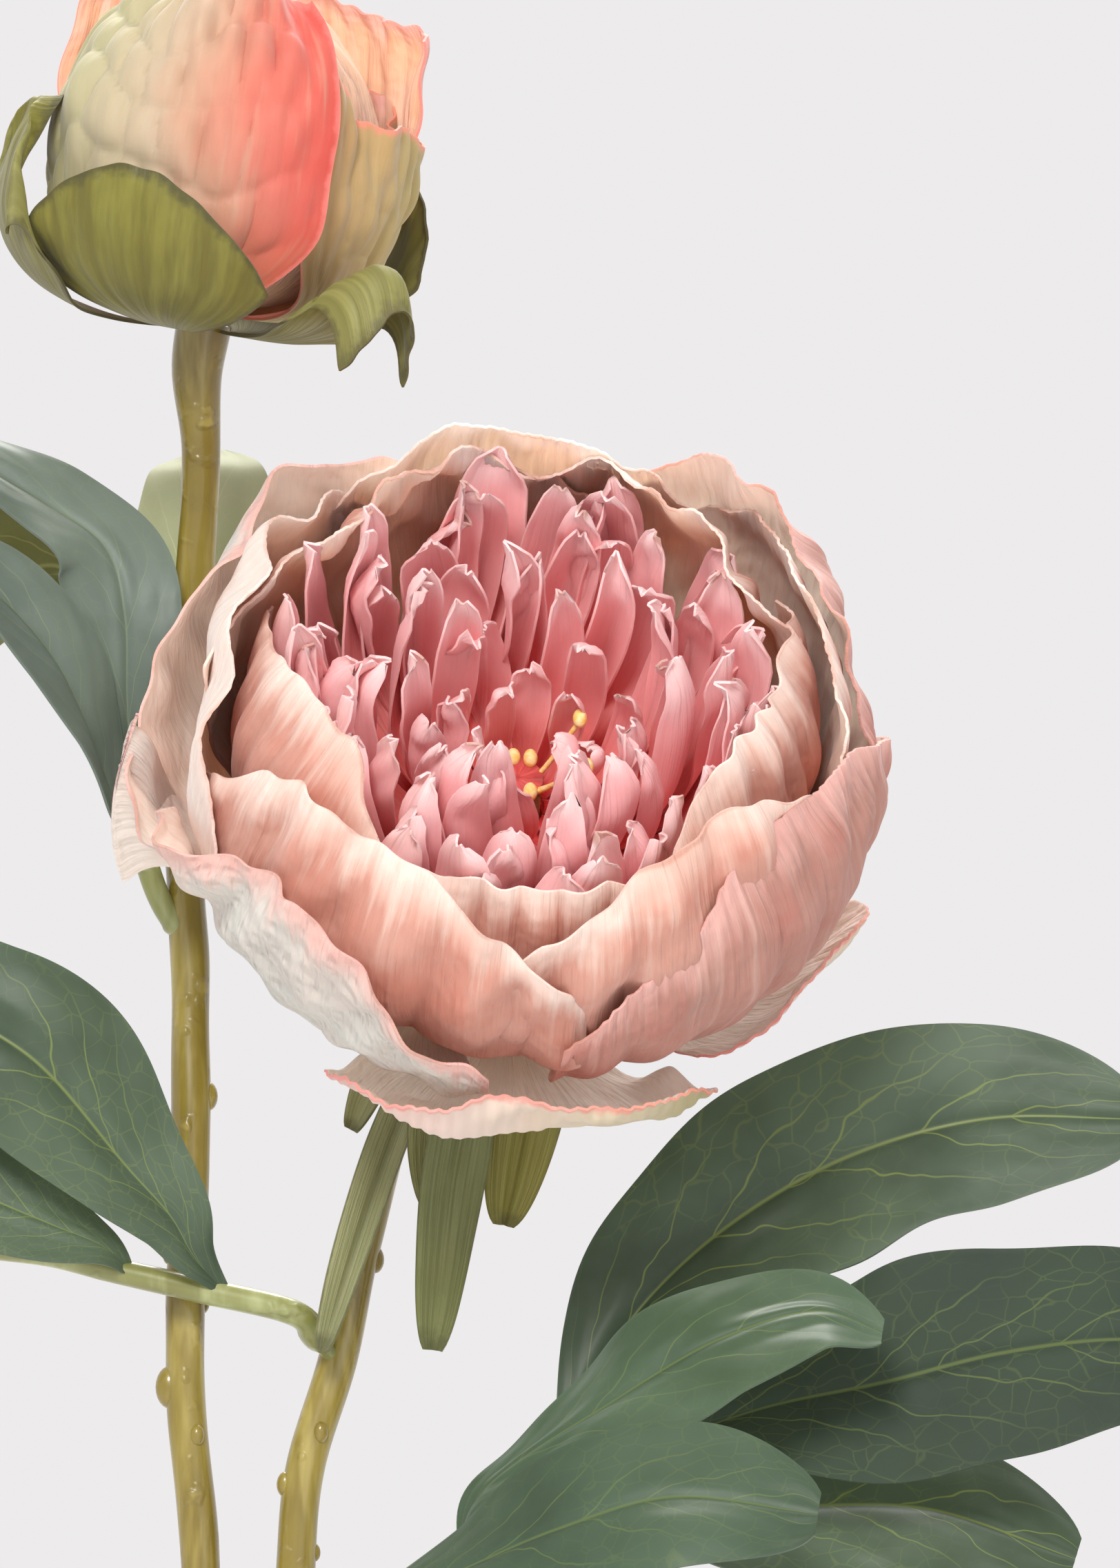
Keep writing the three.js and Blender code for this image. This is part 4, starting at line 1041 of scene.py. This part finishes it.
def bud_petals():
    """Three wrapped petals, each of its own dye, round the closed middle."""
    cream = [
        (0, (0.32, 0.31, 0.15)), (0.28, (0.43, 0.39, 0.22)), (0.56, (0.49, 0.37, 0.25)),
        (0.72, (0.54, 0.26, 0.17)), (0.86, (0.58, 0.14, 0.1)), (1, (0.58, 0.07, 0.05)),
    ]
    green = [
        (0, (0.4, 0.24, 0.1)), (0.35, (0.4, 0.31, 0.13)), (0.75, (0.34, 0.3, 0.1)),
        (1, (0.28, 0.26, 0.07)),
    ]
    pink = [
        (0, (0.66, 0.28, 0.23)), (0.3, (0.7, 0.42, 0.35)), (0.7, (0.66, 0.46, 0.36)),
        (1, (0.5, 0.42, 0.25)),
    ]
    dyes = {
        "front": bud_fabric("bud_cream", cream, (0.5, 0.41, 0.28), 0.6),
        "right": bud_fabric("bud_cream_green", green, (0.46, 0.38, 0.2), 0.5),
        "back": bud_fabric("bud_pink", pink, (0.68, 0.4, 0.34), 0.4),
    }
    inside = petal_fabric(
        "bud_inside", (0.78, 0.36, 0.2), (0.82, 0.44, 0.28), (0.86, 0.56, 0.44), (0.84, 0.42, 0.38)
    )
    specs = {
        "front": {"turn": -120, "half": 64, "length": 0.98, "drop": 0.1, "scales": 1.6, "tile": 2.6},
        "right": {
            "turn": -2, "half": 56, "length": 0.6, "drop": -0.2, "wave": 0.8, "ruffle": 1.2, "scales": 0.5,
            "tile": 2.6,
        },
        "back": {
            "turn": 76, "half": 70, "length": 0.96, "drop": 0.12, "wave": 1.0, "flare": 3, "tip": (20, 58),
        },
    }
    for side, spec in specs.items():
        node = f"bud_petal_{side}"
        grid = petal_grid(BUD, node, BUD_PETAL, pleat=0.25, notch=0.02, **spec)
        add_sheet(node, grid, [dyes[side], inside])
    bud_heart(inside)


def bud_heart(dye):
    """The closed middle of the bud: six petals rolled tightly round each other, on a core."""
    profile = [(3, 3), (33, 4), (33, 47), (3.5, 54)]
    parts = []
    for k in range(6):
        layer = k % 3
        inset = 0.985 - 0.035 * layer
        scaled = [(x * inset, 3 + (y - 3) * (1 - 0.02 * layer)) for x, y in profile]
        grid = petal_grid(
            BUD, f"heart_{k}", scaled, turn=60 * k + 20, half=58, drop=0.06, tile=1.6, wave=0.5, ruffle=0.7,
            pleat=0.2, rows=60, cols=70,
        )
        parts.append(sheet_arrays(grid))
    core = [(x * 0.84, 4 + y * 0.84) for x, y in bezier(profile, np.linspace(0, 1, 40))[0]]
    parts.append(BUD.lathed([(0, core[0][1]), *core, (0, core[-1][1])], 48))
    add("bud_heart_fabric", joined(parts), [dye, dye], "bud_heart")


def bud_sepals():
    """Four sepals on their moulded disc."""
    green = sepal_fabric(
        "bud_sepal_green", (0.12, 0.106, 0.008), (0.19, 0.178, 0.022), (0.05, 0.045, 0.008), 20
    )
    inside = sepal_fabric(
        "bud_sepal_inside", (0.17, 0.16, 0.035), (0.24, 0.23, 0.06), (0.08, 0.07, 0.015), 20
    )
    specs = {
        "bud_sepal_front": {"turn": -112, "half": 40, "length": 0.7, "drop": 0.45, "flare": 0.5},
        "bud_sepal_left": {
            "turn": 200, "half": 27, "length": 1.0, "drop": 0.4, "roll": 150, "roll_reach": 14, "taper": 0.35,
            "tip": (27, 41),
        },
        "bud_sepal_right": {
            "turn": -42, "half": 24, "length": 0.62, "drop": 0.35, "roll": 125, "roll_reach": 26, "taper": 0.6,
        },
        "bud_sepal_back": {"turn": 56, "half": 38, "length": 0.9, "drop": 0.5, "flare": 1.0},
    }
    for node, spec in specs.items():
        grid = petal_grid(
            BUD, node, BUD_SEPAL, tile=1.4, wave=0.5, ruffle=0.6, pleat=0.12, notch=0.015, rows=60, cols=70,
            **spec,
        )
        add_sheet(node, grid, [green, inside])
    profile = [(0, 0), (4.0, 0), (4.5, 0.3), (5.2, 1.6), (4.8, 2.0), (4, 2.2), (0, 2.2)]
    add("bud_calyx_moulded", BUD.lathed(profile, 48), [green], "bud_calyx")


# ---------- room, in metres ----------
LIGHTS_MEET = (0.04, 0, 0.36)
CAMERA_PLACE = (0.0506, -1.5, 0.3463)
CAMERA_LENS = 213.7  # millimetres, on a sensor 36 mm across


def floor():
    """A plain pale disc that the vase stands on."""
    vertices, faces, uvs, sides = lathe_arrays([(0, -4.0), (1500, -4.0), (1500, -0.6), (1499, 0), (0, 0)], 96)
    made = Shader("floor_paper")
    grain = made.grain(3.0, 2.0)
    colour = made.mix(made.between(grain, 0.3, 0.7), (0.7, 0.69, 0.695), (0.73, 0.72, 0.725))
    disc = mesh_object("floor", vertices + ORIGIN, faces, uvs, sides, [made.finish(colour, 0.9)])


def area_light(name, place, size, power, colour=(1, 1, 1)):
    """A round lamp, aimed at the bloom, with its size and place in metres and its power in watts."""
    light = bpy.data.lights.new(name, "AREA")
    light.shape = "DISK"
    light.size = size
    light.energy = power
    light.color = colour
    made = linked(name, light)
    made.location = place
    aim = Vector(LIGHTS_MEET) - Vector(place)
    made.rotation_euler = aim.to_track_quat("-Z", "Y").to_euler()


def studio():
    """An even pale world, a soft key, a weak fill, and a lamp behind that shines through the petals."""
    world = bpy.data.worlds.new("studio")
    world.use_nodes = True
    background = world.node_tree.nodes["Background"]
    background.inputs["Color"].default_value = (0.847, 0.831, 0.839, 1)
    background.inputs["Strength"].default_value = 1.0
    bpy.context.scene.world = world
    area_light("key", (-0.2, -1.45, 1.18), 0.5, 21, (1, 0.985, 0.96))
    area_light("fill", (0.8, -1.6, 0.4), 1.0, 1.5)
    area_light("back", (0.1, 0.7, 1.2), 0.7, 14, (1, 0.97, 0.94))


def camera():
    """A level camera in front, whose frame ends above the vase, as in the photo."""
    view = bpy.data.cameras.new("camera")
    view.sensor_width = 36
    view.lens = CAMERA_LENS
    view.clip_end = 20
    made = linked("camera", view)
    made.location = CAMERA_PLACE
    made.rotation_euler = (math.pi / 2, 0, 0)
    bpy.context.scene.camera = made


vase()
stems()
leaves()
petioles()
petals()
petaloids()
receptacle()
stamens()
bloom_sepals()
bud_petals()
bud_sepals()
floor()
studio()
camera()
bpy.context.scene.view_settings.view_transform = "Standard"
